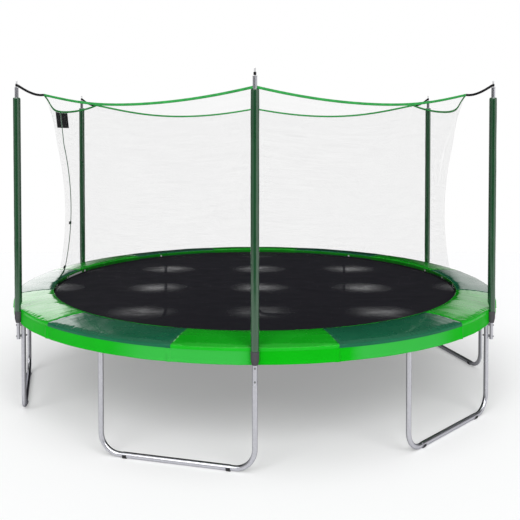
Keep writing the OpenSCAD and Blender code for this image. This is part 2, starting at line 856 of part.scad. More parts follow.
// Hem that lies on the mat under the pad, turned up to the net's lower edge
module net_hem() {
    foot_z = spring_z + mat_t / 2 + 0.1;
    in_r = curve_r(net_bottom_z) - net_t;
    out_r = mat_r - webbing_w - 2;
    color(net_tint)
        rotate_extrude($fn = 180)
            polygon([
                [in_r, foot_z], [out_r, foot_z], [out_r, foot_z + hem_t], [in_r + hem_t, foot_z + hem_t],
                [in_r + hem_t, net_bottom_z], [in_r, net_bottom_z]]);
}

module net_clips() {
    foot_z = spring_z + mat_t / 2 + hem_t + 0.2;
    in_r = curve_r(net_bottom_z) - net_t + hem_t + 0.2;
    out_r = mat_r - webbing_w - 2;
    clip_w = 18;
    clip_t = 3;
    color("whitesmoke")
        for (k = [0 : clip_count - 1])
            at_azimuth(k * 360 / clip_count)
                translate([-clip_w / 2, -out_r, foot_z])
                    cube([clip_w, out_r - in_r - 1, clip_t]);
}

/* ---- door ---- */

// Places a profile drawn about the far centre of the net's curve, at the left side
module on_curve(a0, a1) {
    translate([-net_curve_center, 0, net_waist_z])
        rotate([90, 0, 0])
            rotate([0, 0, a0])
                rotate_extrude(angle = a1 - a0, $fn = 360)
                    children();
}

function curve_angle(z) = asin((z - net_waist_z) / net_curve_r);

// Cross-section of the closed zip, the teeth standing up from the tape towards -X
module zip_section() {
    polygon([
        [0, -tape_w / 2], [tape_t, -tape_w / 2], [tape_t, tape_w / 2], [0, tape_w / 2],
        [0, teeth_w / 2], [-teeth_t, teeth_w / 2], [-teeth_t, -teeth_w / 2], [0, -teeth_w / 2]]);
}

module door_zip() {
    head_run = top_z(0) - band_w - slip - net_head_z;
    head_rise = top_r(0) - (top_r(0) - curve_r(net_head_z)) * (band_w + slip) / (top_z(0) - net_head_z)
        - curve_r(net_head_z);
    color(dark_green) {
        on_curve(curve_angle(zip_bottom_z), curve_angle(net_head_z))
            translate([tape_r, 0])
                zip_section();
        translate([-curve_r(net_head_z) - zip_out - tape_t, 0, net_head_z])
            rotate([0, -atan2(head_rise, head_run), 0])
                translate([0, 0, zip_break])
                    linear_extrude(height = norm([head_rise, head_run]) - zip_break)
                        zip_section();
    }
}

module zip_slider() {
    half = asin(slider_h / 2 / net_curve_r);
    mid = curve_angle(slider_z);
    color("silver")
        difference() {
            on_curve(mid - half, mid + half)
                translate([slider_out_r, -slider_w / 2])
                    square([slider_t + teeth_t - slip, slider_w]);
            on_curve(mid - 2 * half, mid + 2 * half)
                translate([tape_r - teeth_t - slip, -teeth_w / 2 - slip])
                    square([teeth_t + 2, teeth_w + 2 * slip]);
        }
}

// Dark cloth sewn on the net at the head of the door, in two halves beside the zip
module door_patch() {
    gap = asin((tape_w / 2 + 1) / net_mid_r);
    angles = [for (i = [0 : 4]) gap + (patch_half - gap) * i / 4];
    rows = [for (phi = angles) strip_rows(phi, patch_bottom_z, band_w + 2)];
    color(black_cloth)
        at_azimuth(90)
            for (side = [0, 1])
                mirror([side, 0, 0])
                    sheet(angles, rows, 1.8, 1);
}

// Buckles that keep the door shut. Each bridges the zip, and the slider passes under it.
module door_buckles() {
    under = tape_w / 2 + 1;
    side = under + buckle_foot;
    foot_r = net_curve_r - slip;
    bridge_r = slider_out_r - 1;
    half = asin(buckle_h / 2 / net_curve_r);
    color(black_cloth)
        for (k = [0, 1]) {
            mid = curve_angle(rail_height + buckle_rise + k * buckle_pitch);
            on_curve(mid - half, mid + half)
                polygon([
                    [foot_r, -side], [foot_r, -under], [bridge_r, -under], [bridge_r, under],
                    [foot_r, under], [foot_r, side], [bridge_r - buckle_t, side], [bridge_r - buckle_t, -side]]);
        }
}

crossbar(0);  // crossbar_1
crossbar(1);  // crossbar_2
crossbar(2);  // crossbar_3
crossbar(3);  // crossbar_4
crossbar(4);  // crossbar_5
crossbar(5);  // crossbar_6
leg_elbows();
leg_uprights();
foot_pads();
t_sockets();
top_rails();
socket_screws();
pole_lower_tubes();
pole_upper_tubes();
pole_spacers();
pole_bolts();
pole_nuts();
pole_caps();
pole_sleeve(0);  // pole_sleeve_1
pole_sleeve(1);  // pole_sleeve_2
pole_sleeve(2);  // pole_sleeve_3
pole_sleeve(3);  // pole_sleeve_4
pole_sleeve(4);  // pole_sleeve_5
pole_sleeve(5);  // pole_sleeve_6
sleeve_cuffs();
springs();
v_rings();
mat();
mat_webbing();
pad(0);  // pad_1
pad(1);  // pad_2
pad(2);  // pad_3
pad(3);  // pad_4
pad(4);  // pad_5
pad(5);  // pad_6
pad(6);  // pad_7
pad(7);  // pad_8
pad(8);  // pad_9
pad(9);  // pad_10
pad(10);  // pad_11
pad(11);  // pad_12
pad_ties();
skirt();
net_panel(0);  // net_panel_1
net_panel(1);  // net_panel_2
net_panel(2);  // net_panel_3
net_panel(3);  // net_panel_4
net_panel(4);  // net_panel_5
net_panel(5);  // net_panel_6
net_top_band();
corner_straps();
net_hem();
net_clips();
door_zip();
zip_slider();
door_patch();
door_buckles();
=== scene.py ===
import json
import math

import bmesh
import bpy
from mathutils import Matrix, Vector, noise


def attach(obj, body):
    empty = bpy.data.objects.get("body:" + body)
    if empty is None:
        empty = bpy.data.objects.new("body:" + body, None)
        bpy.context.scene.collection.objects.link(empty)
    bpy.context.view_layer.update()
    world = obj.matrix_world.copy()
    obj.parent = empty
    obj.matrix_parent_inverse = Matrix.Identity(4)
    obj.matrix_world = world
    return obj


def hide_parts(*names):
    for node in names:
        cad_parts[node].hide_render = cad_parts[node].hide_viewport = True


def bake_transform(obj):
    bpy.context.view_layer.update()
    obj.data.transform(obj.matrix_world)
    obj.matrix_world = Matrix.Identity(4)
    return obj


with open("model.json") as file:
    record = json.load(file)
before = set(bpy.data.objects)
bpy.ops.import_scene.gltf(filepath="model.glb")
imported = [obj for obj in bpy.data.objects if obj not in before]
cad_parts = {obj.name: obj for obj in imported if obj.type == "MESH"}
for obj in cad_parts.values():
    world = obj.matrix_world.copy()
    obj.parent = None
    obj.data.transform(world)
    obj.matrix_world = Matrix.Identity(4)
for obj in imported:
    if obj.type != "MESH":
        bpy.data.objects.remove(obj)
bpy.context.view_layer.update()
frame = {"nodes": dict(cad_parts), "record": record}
nodes = frame["nodes"]
scene = bpy.context.scene
print("frame loaded,", len(nodes), "nodes")

# Metres. The front is -Y, and azimuths grow from the front towards -X, in degrees.
ring = {
    "railRadius": 2.262,
    "railHeight": 0.850,
    "poleRadius": 2.304,
    "legStep": 60,
    "padStep": 30,
    "springStep": 3.75,
    "springHeight": 0.871,
}


def ringPoint(radius, azimuth, height):
    angle = math.radians(azimuth)
    return Vector((-radius * math.sin(angle), -radius * math.cos(angle), height))


def turnTo(azimuth):  # carries what stands at the front to an azimuth
    return Matrix.Rotation(-math.radians(azimuth), 4, "Z")


def smoothStep(low, high, value):
    share = max(0.0, min(1.0, (value - low) / (high - low)))
    return share * share * (3 - 2 * share)


def azimuthOf(point):
    return math.degrees(math.atan2(-point.x, -point.y))


def wobble(point, scale, seed):  # smooth noise from -1 to 1
    return noise.noise(Vector(point) * scale + Vector((seed, 3.1 * seed, 7.7 * seed)))


studio = {
    "cameraPlace": (0.0, -7.286, 2.345),
    "cameraDown": 1.48,
    "lens": 50.63,
    "shift": (0.0098, -0.2012),
    "worldLight": 0.28,
    "topSun": (0.74, 45, (5, 0, 0)),
    "leftSun": (1.42, 34, (52, 0, -26)),
    "rightSun": (1.42, 34, (52, 0, 26)),
    "floorColor": (0.93, 0.93, 0.935, 1),
    "floorHalf": 7.5,
    "floorGlow": 0.30,
    # what gloss sees round the studio: azimuth from the front towards -X, and how bright it is there
    "softboxes": (
        (-180, 0.0), (-166.5, 0.0), (-165.5, 0.10), (-163.5, 0.42), (-161, 0.52), (-112, 0.22),
        (-102, 0.30), (-94, 0.70), (-36, 0.70), (-30, 0.03), (28, 0.03), (34, 0.26), (82, 0.30),
        (92, 0.15), (140, 0.25), (150, 1.0), (164.6, 1.0), (166.0, 0.30), (168, 0.02), (180, 0.0)),
    "softboxGain": 1.5,
    "ceiling": 0.12,
    # the heights below are those of a direction's unit vector
    "ceilingEdge": (0.5, 0.8),
    "leanEdge": (0.22, 0.33),
    "lean": 2.4,
    "footEdge": (-0.06, 0.05),
    "footLevel": 0.4,
    "behind": (0.3, 0.7),
    "headEdge": (0.35, 0.44),
    "headLevel": 0.05,
    "headDrop": -0.03,
}


def setCamera():
    lens = bpy.data.cameras.new("camera")
    lens.lens = studio["lens"]
    lens.sensor_width = 36
    lens.shift_x, lens.shift_y = studio["shift"]
    lens.clip_end = 300
    camera = bpy.data.objects.new("camera", lens)
    camera.location = studio["cameraPlace"]
    camera.rotation_euler = (math.radians(90 - studio["cameraDown"]), 0, 0)
    scene.collection.objects.link(camera)
    scene.camera = camera
    scene.view_settings.view_transform = "Standard"


def addSun(name, strength, spread, turn):
    lamp = bpy.data.lights.new(name, "SUN")
    lamp.energy = strength
    lamp.angle = math.radians(spread)
    sun = bpy.data.objects.new(name, lamp)
    sun.rotation_euler = [math.radians(a) for a in turn]
    scene.collection.objects.link(sun)


def feed(tree, source, target):  # wires an output to an input, or sets the input to a value
    if isinstance(source, bpy.types.NodeSocket):
        tree.links.new(source, target)
    else:
        target.default_value = source


def addNode(tree, kind, inputs=None, **settings):
    node = tree.nodes.new(kind)
    for key, value in settings.items():
        setattr(node, key, value)
    for key, source in (inputs or {}).items():
        feed(tree, source, node.inputs[key])
    return node


def calc(tree, operation, *terms):
    return addNode(tree, "ShaderNodeMath", dict(enumerate(terms)), operation=operation).outputs[0]


def vectorCalc(tree, operation, *terms, out="Vector"):
    return addNode(tree, "ShaderNodeVectorMath", dict(enumerate(terms)), operation=operation).outputs[out]


def scaled(tree, color, share):
    return addNode(tree, "ShaderNodeVectorMath", {0: color, "Scale": share}, operation="SCALE").outputs[0]


def mapTo(tree, source, span, result=(0.0, 1.0), smooth=False):
    node = addNode(tree, "ShaderNodeMapRange", {
        "Value": source,
        "From Min": span[0],
        "From Max": span[1],
        "To Min": result[0],
        "To Max": result[1]}, interpolation_type="SMOOTHSTEP" if smooth else "LINEAR")
    return node.outputs["Result"]


def rampOf(tree, source, stops):  # stops: (position, colour), in order
    ramp = addNode(tree, "ShaderNodeValToRGB", {"Fac": source})
    elements = ramp.color_ramp.elements
    while len(elements) < len(stops):
        elements.new(0.5)
    for element, (position, color) in zip(elements, stops):
        element.position = position
        element.color = (*color, 1)
    return ramp.outputs["Color"]


def splitOf(tree, source):
    return addNode(tree, "ShaderNodeSeparateXYZ", {0: source}).outputs


def mixShader(tree, share, first, second):
    return addNode(tree, "ShaderNodeMixShader", {0: share, 1: first, 2: second}).outputs[0]


def meshOf(bm, name):
    mesh = bpy.data.meshes.new(name)
    bm.to_mesh(mesh)
    bm.free()
    return mesh


def softboxLevel(tree):  # grey level by the direction round the studio
    x, y, height = splitOf(tree, addNode(tree, "ShaderNodeTexCoord").outputs["Generated"])
    azimuth = calc(tree, "ARCTAN2", calc(tree, "MULTIPLY", x, -1.0), calc(tree, "MULTIPLY", y, -1.0))
    way = calc(tree, "SIGN", azimuth)
    # the boxes behind lean outwards, so that their inner edges stand wider apart higher up
    lean = mapTo(tree, height, studio["leanEdge"], (0.0, math.radians(studio["lean"])))
    share = mapTo(tree, calc(tree, "MULTIPLY_ADD", lean, way, azimuth), (-math.pi, math.pi))
    stops = [((turn + 180) / 360, (level, level, level)) for turn, level in studio["softboxes"]]
    boxes = rampOf(tree, share, stops)
    # the boxes behind stand a little above the floor
    foot = mapTo(tree, height, studio["footEdge"], (studio["footLevel"], 1.0), smooth=True)
    stand = calc(tree, "MAXIMUM", foot, mapTo(tree, y, studio["behind"], (1.0, 0.0)))
    # none of the boxes reaches far up, and those at the right end lower
    rise = calc(tree, "MULTIPLY_ADD", way, studio["headDrop"], height)
    head = mapTo(tree, rise, studio["headEdge"], (1.0, studio["headLevel"]), smooth=True)
    level = calc(tree, "MULTIPLY", calc(tree, "MULTIPLY", boxes, stand), head)
    overhead = mapTo(tree, height, studio["ceilingEdge"], smooth=True)
    mix = addNode(tree, "ShaderNodeMix", {0: overhead, "A": level, "B": studio["ceiling"]}, data_type="FLOAT")
    return mix.outputs[0]


def backdrop(tree, color, strength):
    return addNode(tree, "ShaderNodeBackground", {"Color": color, "Strength": strength}).outputs[0]


def setWorld():
    world = bpy.data.worlds.new("studio")
    world.use_nodes = True
    tree = world.node_tree
    tree.nodes.clear()
    path = addNode(tree, "ShaderNodeLightPath").outputs
    glossy = backdrop(tree, (1, 1, 1, 1), calc(tree, "MULTIPLY", softboxLevel(tree), studio["softboxGain"]))
    soft = backdrop(tree, (0.98, 0.99, 1, 1), studio["worldLight"])
    lit = mixShader(tree, path["Is Glossy Ray"], soft, glossy)
    seen = calc(tree, "MAXIMUM", path["Is Camera Ray"], path["Is Transmission Ray"])
    shown = mixShader(tree, seen, lit, backdrop(tree, (1, 1, 1, 1), 1.0))
    addNode(tree, "ShaderNodeOutputWorld", {0: shown})
    scene.world = world


def addFloor():
    bm = bmesh.new()
    bmesh.ops.create_grid(bm, x_segments=2, y_segments=2, size=studio["floorHalf"])
    mesh = meshOf(bm, "floor")
    floor = bpy.data.objects.new("floor", mesh)
    floor.location.z = -0.0005
    scene.collection.objects.link(floor)
    finish = bpy.data.materials.new("floorPaint")
    finish.use_nodes = True
    tree = finish.node_tree
    shader = tree.nodes["Principled BSDF"]
    shader.inputs["Base Color"].default_value = studio["floorColor"]
    shader.inputs["Roughness"].default_value = 0.9
    shader.inputs["Specular IOR Level"].default_value = 0.0
    # part of the floor's white shows without light, so that its open part is as white as the backdrop
    path = addNode(tree, "ShaderNodeLightPath").outputs
    seen = calc(tree, "MAXIMUM", path["Is Camera Ray"], path["Is Glossy Ray"])
    glow = addNode(tree, "ShaderNodeEmission", {"Color": (1, 1, 1, 1), "Strength": 1.0}).outputs[0]
    shown = mixShader(tree, calc(tree, "MULTIPLY", seen, studio["floorGlow"]), shader.outputs[0], glow)
    feed(tree, shown, tree.nodes["Material Output"].inputs["Surface"])
    mesh.materials.append(finish)


setCamera()
addSun("topSun", *studio["topSun"])
addSun("leftSun", *studio["leftSun"])
addSun("rightSun", *studio["rightSun"])
setWorld()
addFloor()
print("camera, light and floor set")


def startFinish(name, roughness=0.5, metal=0.0, gloss=0.5):
    # gives the material, its node tree, the shader's inputs and the coordinates
    finish = bpy.data.materials.new(name)
    finish.use_nodes = True
    tree = finish.node_tree
    shader = tree.nodes["Principled BSDF"].inputs
    shader["Roughness"].default_value = roughness
    shader["Metallic"].default_value = metal
    shader["Specular IOR Level"].default_value = gloss
    return finish, tree, shader, addNode(tree, "ShaderNodeTexCoord").outputs


def varyColor(tree, shader, source, dark, light, low=0.35, high=0.65):
    feed(tree, rampOf(tree, source, ((low, dark), (high, light))), shader["Base Color"])


def varyRoughness(tree, shader, source, span):
    feed(tree, mapTo(tree, source, (0.3, 0.7), span), shader["Roughness"])


def addBump(tree, shader, height, strength, distance, after=None, target="Normal"):
    bump = addNode(tree, "ShaderNodeBump", {"Height": height, "Strength": strength, "Distance": distance})
    if after is not None:
        feed(tree, after, bump.inputs["Normal"])
    feed(tree, bump.outputs["Normal"], shader[target])
    return bump.outputs["Normal"]


def clouds(tree, place, scale, detail=3.0, roughness=0.5, stretch=None, space="Object"):
    source = place[space]
    if stretch:
        source = addNode(tree, "ShaderNodeMapping", {"Vector": source, "Scale": stretch}).outputs["Vector"]
    return addNode(tree, "ShaderNodeTexNoise", {
        "Vector": source,
        "Scale": scale,
        "Detail": detail,
        "Roughness": roughness}).outputs["Fac"]


def cells(tree, place, scale, out):
    return addNode(tree, "ShaderNodeTexVoronoi", {"Vector": place["Object"], "Scale": scale}).outputs[out]


def weave(tree, place, pitch, axes=("X", "Y")):  # two crossing sets of threads, the crests of both
    inputs = {"Vector": place["Object"], "Scale": math.pi / (20 * pitch)}
    threads = [addNode(tree, "ShaderNodeTexWave", inputs, bands_direction=axis, wave_profile="SIN")
               for axis in axes]
    return calc(tree, "MAXIMUM", *(node.outputs["Fac"] for node in threads))


def plainFinish(name, cloud, dark, light, roughness, grain=None, **more):
    # plated, moulded or rubber stuff: colour and roughness drift in clouds, over a fine grain
    finish, tree, shader, place = startFinish(name, **more)
    drift = clouds(tree, place, cloud)
    varyColor(tree, shader, drift, dark, light)
    varyRoughness(tree, shader, drift, roughness)
    if grain:
        scale, strength, distance = grain
        addBump(tree, shader, clouds(tree, place, scale, 1.0), strength, distance)
    return finish


def galvanisedFinish():
    finish, tree, shader, place = startFinish("galvanisedSteel", metal=1.0)
    spangle = cells(tree, place, 70.0, "Color")
    plated = rampOf(tree, spangle, ((0.1, (0.55, 0.55, 0.59)), (0.9, (0.60, 0.60, 0.64))))
    # painted shade: the sides that face in under the mat are darker, standing in for the shadowed floor they
    # reflect
    inward = vectorCalc(tree, "NORMALIZE", vectorCalc(tree, "MULTIPLY", place["Object"], (-1, -1, 0)))
    facing = vectorCalc(tree, "DOT_PRODUCT", place["Normal"], inward, out="Value")
    paintedShade = mapTo(tree, facing, (-0.30, 0.15), (1.0, 0.50), smooth=True)
    feed(tree, scaled(tree, plated, paintedShade), shader["Base Color"])
    varyRoughness(tree, shader, clouds(tree, place, 9.0), (0.27, 0.34))
    addBump(tree, shader, clouds(tree, place, 500.0, 1.0), 0.02, 0.0001)
    shader["Specular Tint"].default_value = (0.30, 0.30, 0.33, 1)  # darker where it turns away
    return finish


def sleeveFinish():
    finish, tree, shader, place = startFinish("sleeveCloth", gloss=1.0)
    cloud = clouds(tree, place, 9.0, 4.0, stretch=(1, 1, 0.25))
    varyColor(tree, shader, cloud, (0.008, 0.056, 0.019), (0.012, 0.068, 0.025))
    varyRoughness(tree, shader, cloud, (0.13, 0.20))
    first = addBump(tree, shader, weave(tree, place, 0.0016, ("X", "Z")), 0.04, 0.0003)
    crease = clouds(tree, place, 38.0, stretch=(1, 1, 0.45))
    addBump(tree, shader, crease, 0.05, 0.004, after=first)
    return finish


def cuffFinish():
    finish, tree, shader, place = startFinish("cuffFoam", 0.75, gloss=0.2)
    foam = cells(tree, place, 420.0, "Distance")
    varyColor(tree, shader, foam, (0.085, 0.083, 0.090), (0.055, 0.053, 0.060), 0.1, 0.8)
    addBump(tree, shader, foam, 0.35, 0.0008)
    return finish


# painted reflections of overhead lamps: pale spots a metre apart both ways; opacity is that of the weave,
# whole and in the spots
lampGlints = {
    "shift": (-0.045, 0.18, 0),
    "flatten": (0.80, 1.0, 0.0),
    "reach": (0.02, 0.31),
    "opacity": (0.97, 0.60),
}


def matFinish():
    finish, tree, shader, place = startFinish("matCloth", gloss=0.02)
    shifted = addNode(tree, "ShaderNodeMapping", {"Vector": place["Object"], "Location": lampGlints["shift"]})
    wrapped = vectorCalc(tree, "WRAP", shifted.outputs["Vector"], (0.5, 0.5, 1), (-0.5, -0.5, -1))
    reach = vectorCalc(tree, "LENGTH", vectorCalc(tree, "MULTIPLY", wrapped, lampGlints["flatten"]), out="Value")
    spot = mapTo(tree, reach, lampGlints["reach"], (1.0, 0.0), smooth=True)
    smudge = clouds(tree, place, 5.0, 4.0, 0.6, stretch=(1.0, 1.9, 1))
    glintSpot = calc(tree, "MULTIPLY", spot, mapTo(tree, smudge, (0.35, 0.6), (0.55, 1.0)))
    # painted highlight: the mat's colour is paler in the lamp reflection spots
    varyColor(tree, shader, glintSpot, (0.0118, 0.0112, 0.0148), (0.020, 0.020, 0.024), 0.0, 1.0)
    varyRoughness(tree, shader, smudge, (0.62, 0.76))
    first = addBump(tree, shader, weave(tree, place, 0.0022), 0.3, 0.0005)
    addBump(tree, shader, smudge, 0.08, 0.01, after=first)
    # the weave lets a little light through, and more in the painted reflection spots
    feed(tree, mapTo(tree, glintSpot, (0.0, 1.0), lampGlints["opacity"]), shader["Alpha"])
    return finish


def webbingFinish(name, dark, light):
    finish, tree, shader, place = startFinish(name, gloss=0.15)
    cloud = clouds(tree, place, 25.0)
    varyColor(tree, shader, cloud, dark, light)
    varyRoughness(tree, shader, cloud, (0.5, 0.7))
    addBump(tree, shader, weave(tree, place, 0.0020, ("Y", "Z")), 0.4, 0.0005)
    return finish


creaseDepth = 0.012


def startCover(name, dark, light, roughness, gloss, crease):
    # glossy coated cloth: its colour drifts a little, with soft creases over a fine grain
    finish, tree, shader, place = startFinish(name, gloss=gloss)
    cloth = rampOf(tree, clouds(tree, place, 3.2, 4.0), ((0.35, dark), (0.65, light)))
    varyRoughness(tree, shader, clouds(tree, place, 7.0), roughness)
    first = addBump(tree, shader, weave(tree, place, 0.0018), 0.015, 0.0003)
    soft = clouds(tree, place, 4.0, 1.0)
    addBump(tree, shader, soft, crease, creaseDepth, after=first)
    return finish, tree, shader, place, cloth, soft


def padFinish(name, dark, light, rimHighlight, innerShade=0.62, crease=0.25):
    finish, tree, shader, place, cloth, soft = startCover(name, dark, light, (0.22, 0.32), 0.08, crease)
    addBump(tree, shader, soft, crease, creaseDepth, target="Coat Normal")
    # the film is worn thin where the cover turns down at its rim
    up = splitOf(tree, place["Normal"])["Z"]
    feed(tree, mapTo(tree, up, (0.70, 0.95), (0.1, 1.0)), shader["Coat Weight"])
    shader["Coat Roughness"].default_value = 0.05
    # painted highlight where it turns down at the outside, and painted shade at the inside
    side = vectorCalc(tree, "DOT_PRODUCT", place["Normal"], place["Object"], out="Value")
    edge = mapTo(tree, side, (-1.0, 1.0), (innerShade, rimHighlight))
    feed(tree, scaled(tree, cloth, mapTo(tree, up, (0.3, 0.95), (edge, 1.0))), shader["Base Color"])
    return finish


# where a painted sheen makes the skirt paler: azimuth from the front towards -X, and how much
skirtSheenRuns = ((0, 0.0), (2, 1.0), (20, 1.0), (27, 0.15), (60, 0.15), (110, 0.1), (300, 0.0), (318, 0.1),
             (323, 1.0), (341, 1.0), (343, 0.0), (360, 0.0))


def skirtFinish():
    # the same coated cloth, hung upright: two runs of painted sheen at the front make it paler
    finish, tree, shader, place, cloth, _ = startCover(
        "skirtCover", (0.002, 0.385, 0.004), (0.003, 0.425, 0.006), (0.35, 0.50), 0.04, 0.2)
    x, y, _ = splitOf(tree, place["Object"])
    share = mapTo(tree, calc(tree, "ARCTAN2", x, y), (-math.pi, math.pi))
    paintedSheen = rampOf(tree, share, [(turn / 360, (level, level, level)) for turn, level in skirtSheenRuns])
    # painted sheen: the paler colour the skirt takes in these runs
    mix = addNode(tree, "ShaderNodeMix", {0: paintedSheen, 6: cloth, 7: (0.036, 0.430, 0.055, 1)}, data_type="RGBA")
    feed(tree, mix.outputs[2], shader["Base Color"])
    return finish


netCells = {"across": 2.05 / 0.009, "up": 1.83 / 0.012, "thread": 0.15, "cover": (0.18, 0.29)}


def netFinish():
    # fine dark threads on a diamond grid, the rest is air; the pattern follows the net's own map
    finish, tree, shader, place = startFinish("netMesh", 0.8, gloss=0.05)
    shader["Base Color"].default_value = (0.03, 0.03, 0.032, 1)
    threads = []
    for lean in (1.0, -1.0):
        slant = (netCells["across"], lean * netCells["up"], 0)
        along = vectorCalc(tree, "DOT_PRODUCT", place["UV"], slant, out="Value")
        threads.append(calc(tree, "LESS_THAN", calc(tree, "FRACT", along), netCells["thread"]))
    streak = clouds(tree, place, 1.0, stretch=(5.0, 90.0, 1.0), space="UV")
    cover = mapTo(tree, streak, (0.3, 0.7), netCells["cover"])
    feed(tree, calc(tree, "MULTIPLY", calc(tree, "MAXIMUM", *threads), cover), shader["Alpha"])
    return finish


finishes = {
    "galvanised_tube": galvanisedFinish(),
    "zinc_hardware": plainFinish("zincPlate", 120.0, (0.55, 0.56, 0.58), (0.74, 0.75, 0.77),
                                 (0.18, 0.38), (900.0, 0.05, 0.0002), metal=1.0),
    "dark_hardware": plainFinish("darkSteel", 150.0, (0.17, 0.17, 0.18), (0.27, 0.27, 0.28),
                                 (0.34, 0.52), metal=0.8),
    "black_plastic": plainFinish("blackPlastic", 80.0, (0.006, 0.006, 0.007), (0.012, 0.012, 0.013),
                                 (0.38, 0.55), (1500.0, 0.15, 0.0002), gloss=0.35),
    "black_rubber": plainFinish("footRubber", 60.0, (0.010, 0.010, 0.011), (0.022, 0.022, 0.023),
                                (0.55, 0.8), (1400.0, 0.25, 0.0003), gloss=0.3),
    "cap_plastic": plainFinish("capPlastic", 45.0, (0.56, 0.56, 0.57), (0.66, 0.66, 0.67),
                               (0.32, 0.5), (1800.0, 0.1, 0.0002)),
    "sleeve_cloth": sleeveFinish(),
    "cuff_foam": cuffFinish(),
    "mat_cloth": matFinish(),
    "black_webbing": webbingFinish("blackWebbing", (0.006, 0.006, 0.007), (0.013, 0.013, 0.014)),
    "pad_light_green": padFinish("lightGreenCover", (0.004, 0.305, 0.008), (0.007, 0.340, 0.012), 1.35),
    "pad_dark_green": padFinish("darkGreenCover", (0.007, 0.094, 0.045), (0.010, 0.108, 0.052), 1.2),
    "skirt_green": skirtFinish(),
    "net_mesh": netFinish(),
    "band_green": webbingFinish("bandGreen", (0.030, 0.300, 0.065), (0.045, 0.390, 0.085)),
    "zip_tape": webbingFinish("zipTape", (0.018, 0.130, 0.050), (0.030, 0.170, 0.070)),
}


def dressNodes():
    for part in frame["record"]["subparts"]:
        shown = nodes[part["node"]]
        shown.data.materials.clear()
        shown.data.materials.append(finishes[part["material_slot"]])


dressNodes()
print("finishes made")


def makePiece(name, bm, slotName, body=None, stands=(), sharp=40):
    mesh = meshOf(bm, name)
    mesh.materials.append(finishes[slotName])
    mesh.shade_smooth()
    mesh.set_sharp_from_angle(angle=math.radians(sharp))
    piece = bpy.data.objects.new(name, mesh)
    scene.collection.objects.link(piece)
    if body:
        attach(piece, body)
    if stands:
        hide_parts(*stands)
    return piece


def spinOutline(corners, sweep=360, steps=64, start=0.0):
    # corners: (radius, height, cuts of the edge to the next corner) of a closed outline, spun about Z
    outline = []
    for (r, z, cuts), (nextR, nextZ, _) in zip(corners, corners[1:] + corners[:1]):
        for step in range(cuts + 1):
            share = step / (cuts + 1)
            outline.append(ringPoint(r + share * (nextR - r), start, z + share * (nextZ - z)))
    bm = bmesh.new()
    verts = [bm.verts.new(point) for point in outline]
    for index in range(len(verts)):
        bm.edges.new((verts[index - 1], verts[index]))
    bmesh.ops.spin(bm, geom=bm.verts[:] + bm.edges[:], cent=(0, 0, 0), axis=(0, 0, -1),
                   angle=math.radians(sweep), steps=steps, use_merge=sweep == 360)
    if sweep != 360:
        rims = [edge for edge in bm.edges if edge.is_boundary]
        ends = bmesh.ops.holes_fill(bm, edges=rims, sides=0)["faces"]
        bmesh.ops.triangulate(bm, faces=ends)
    bmesh.ops.remove_doubles(bm, verts=bm.verts, dist=1e-6)
    facesOut(bm)
    return bm


def pathFrame(point, across, along):  # section x lies across, section y completes the right-handed set
    along = along.normalized()
    across = (across - along * across.dot(along)).normalized()
    up = along.cross(across)
    return Matrix((
        (across.x, up.x, along.x, point.x),
        (across.y, up.y, along.y, point.y),
        (across.z, up.z, along.z, point.z),
        (0, 0, 0, 1)))


def framesAlong(points, across, closed=False):
    frames = []
    count = len(points)
    for index, point in enumerate(points):
        before = points[index - 1] if index or closed else point
        after = points[(index + 1) % count] if index < count - 1 or closed else point
        side = across(index) if callable(across) else across
        frames.append(pathFrame(point, side, after - before))
    return frames


def sweepSection(frames, section, closed=False, bm=None):
    # section: (x, y) corners of a closed outline, carried along the frames
    bm = bm or bmesh.new()
    loop = [bm.verts.new(frames[0] @ Vector((x, y, 0))) for x, y in section]
    first = [bm.edges.new((loop[index - 1], loop[index])) for index in range(len(loop))]
    edges = first
    for before, after in zip(frames, frames[1:]):
        made = bmesh.ops.extrude_edge_only(bm, edges=edges)["geom"]
        fresh = [item for item in made if isinstance(item, bmesh.types.BMVert)]
        known = set(fresh)
        edges = [item for item in made if isinstance(item, bmesh.types.BMEdge) and set(item.verts) <= known]
        bmesh.ops.transform(bm, matrix=after @ before.inverted(), verts=fresh)
    if closed:
        bmesh.ops.bridge_loops(bm, edges=edges + first)
    else:
        bmesh.ops.edgeloop_fill(bm, edges=first)
        bmesh.ops.edgeloop_fill(bm, edges=edges)
    facesOut(bm)
    return bm


def roundedBar(width, height, corner, steps=2):
    outline = []
    for quarter, (sx, sy) in enumerate(((1, 1), (-1, 1), (-1, -1), (1, -1))):
        for step in range(steps + 1):
            angle = math.radians(90 * quarter + 90 * step / steps)
            outline.append((sx * (width / 2 - corner) + corner * math.cos(angle),
                            sy * (height / 2 - corner) + corner * math.sin(angle)))
    return outline


def roundWire(radius, sides=6):
    return [(radius * math.cos(2 * math.pi * i / sides), radius * math.sin(2 * math.pi * i / sides))
            for i in range(sides)]


def copyRound(bm, count, step):  # copies what is in bm round Z, step degrees apart
    if count > 1:
        bmesh.ops.spin(bm, geom=bm.verts[:] + bm.edges[:] + bm.faces[:], cent=(0, 0, 0), axis=(0, 0, -1),
                       angle=math.radians(step * (count - 1)), steps=count - 1, use_duplicate=True)


def moved(bm, matrix):
    bmesh.ops.transform(bm, matrix=matrix, verts=bm.verts)
    return bm


def facesOut(bm):
    bmesh.ops.recalc_face_normals(bm, faces=bm.faces)


def softenEdges(bm, width):
    bmesh.ops.bevel(bm, geom=bm.edges[:], offset=width, segments=2, profile=0.5, affect="EDGES", material=-1)


def copyOf(mesh, matrix):
    bm = bmesh.new()
    bm.from_mesh(mesh)
    return moved(bm, matrix)


def mergeInto(whole, part):
    mesh = meshOf(part, "part")
    whole.from_mesh(mesh)
    bpy.data.meshes.remove(mesh)


def frontRoute(route, height=0.0):  # (reach, rise) pairs, as points at the front
    return [Vector((0, -reach, height + rise)) for reach, rise in route]


def reachOf(point):  # distance from the upright axis
    return Vector((point.x, point.y, 0)).length


def arc(first, step, count):  # angles, given in degrees
    return [math.radians(first + step * index) for index in range(count)]


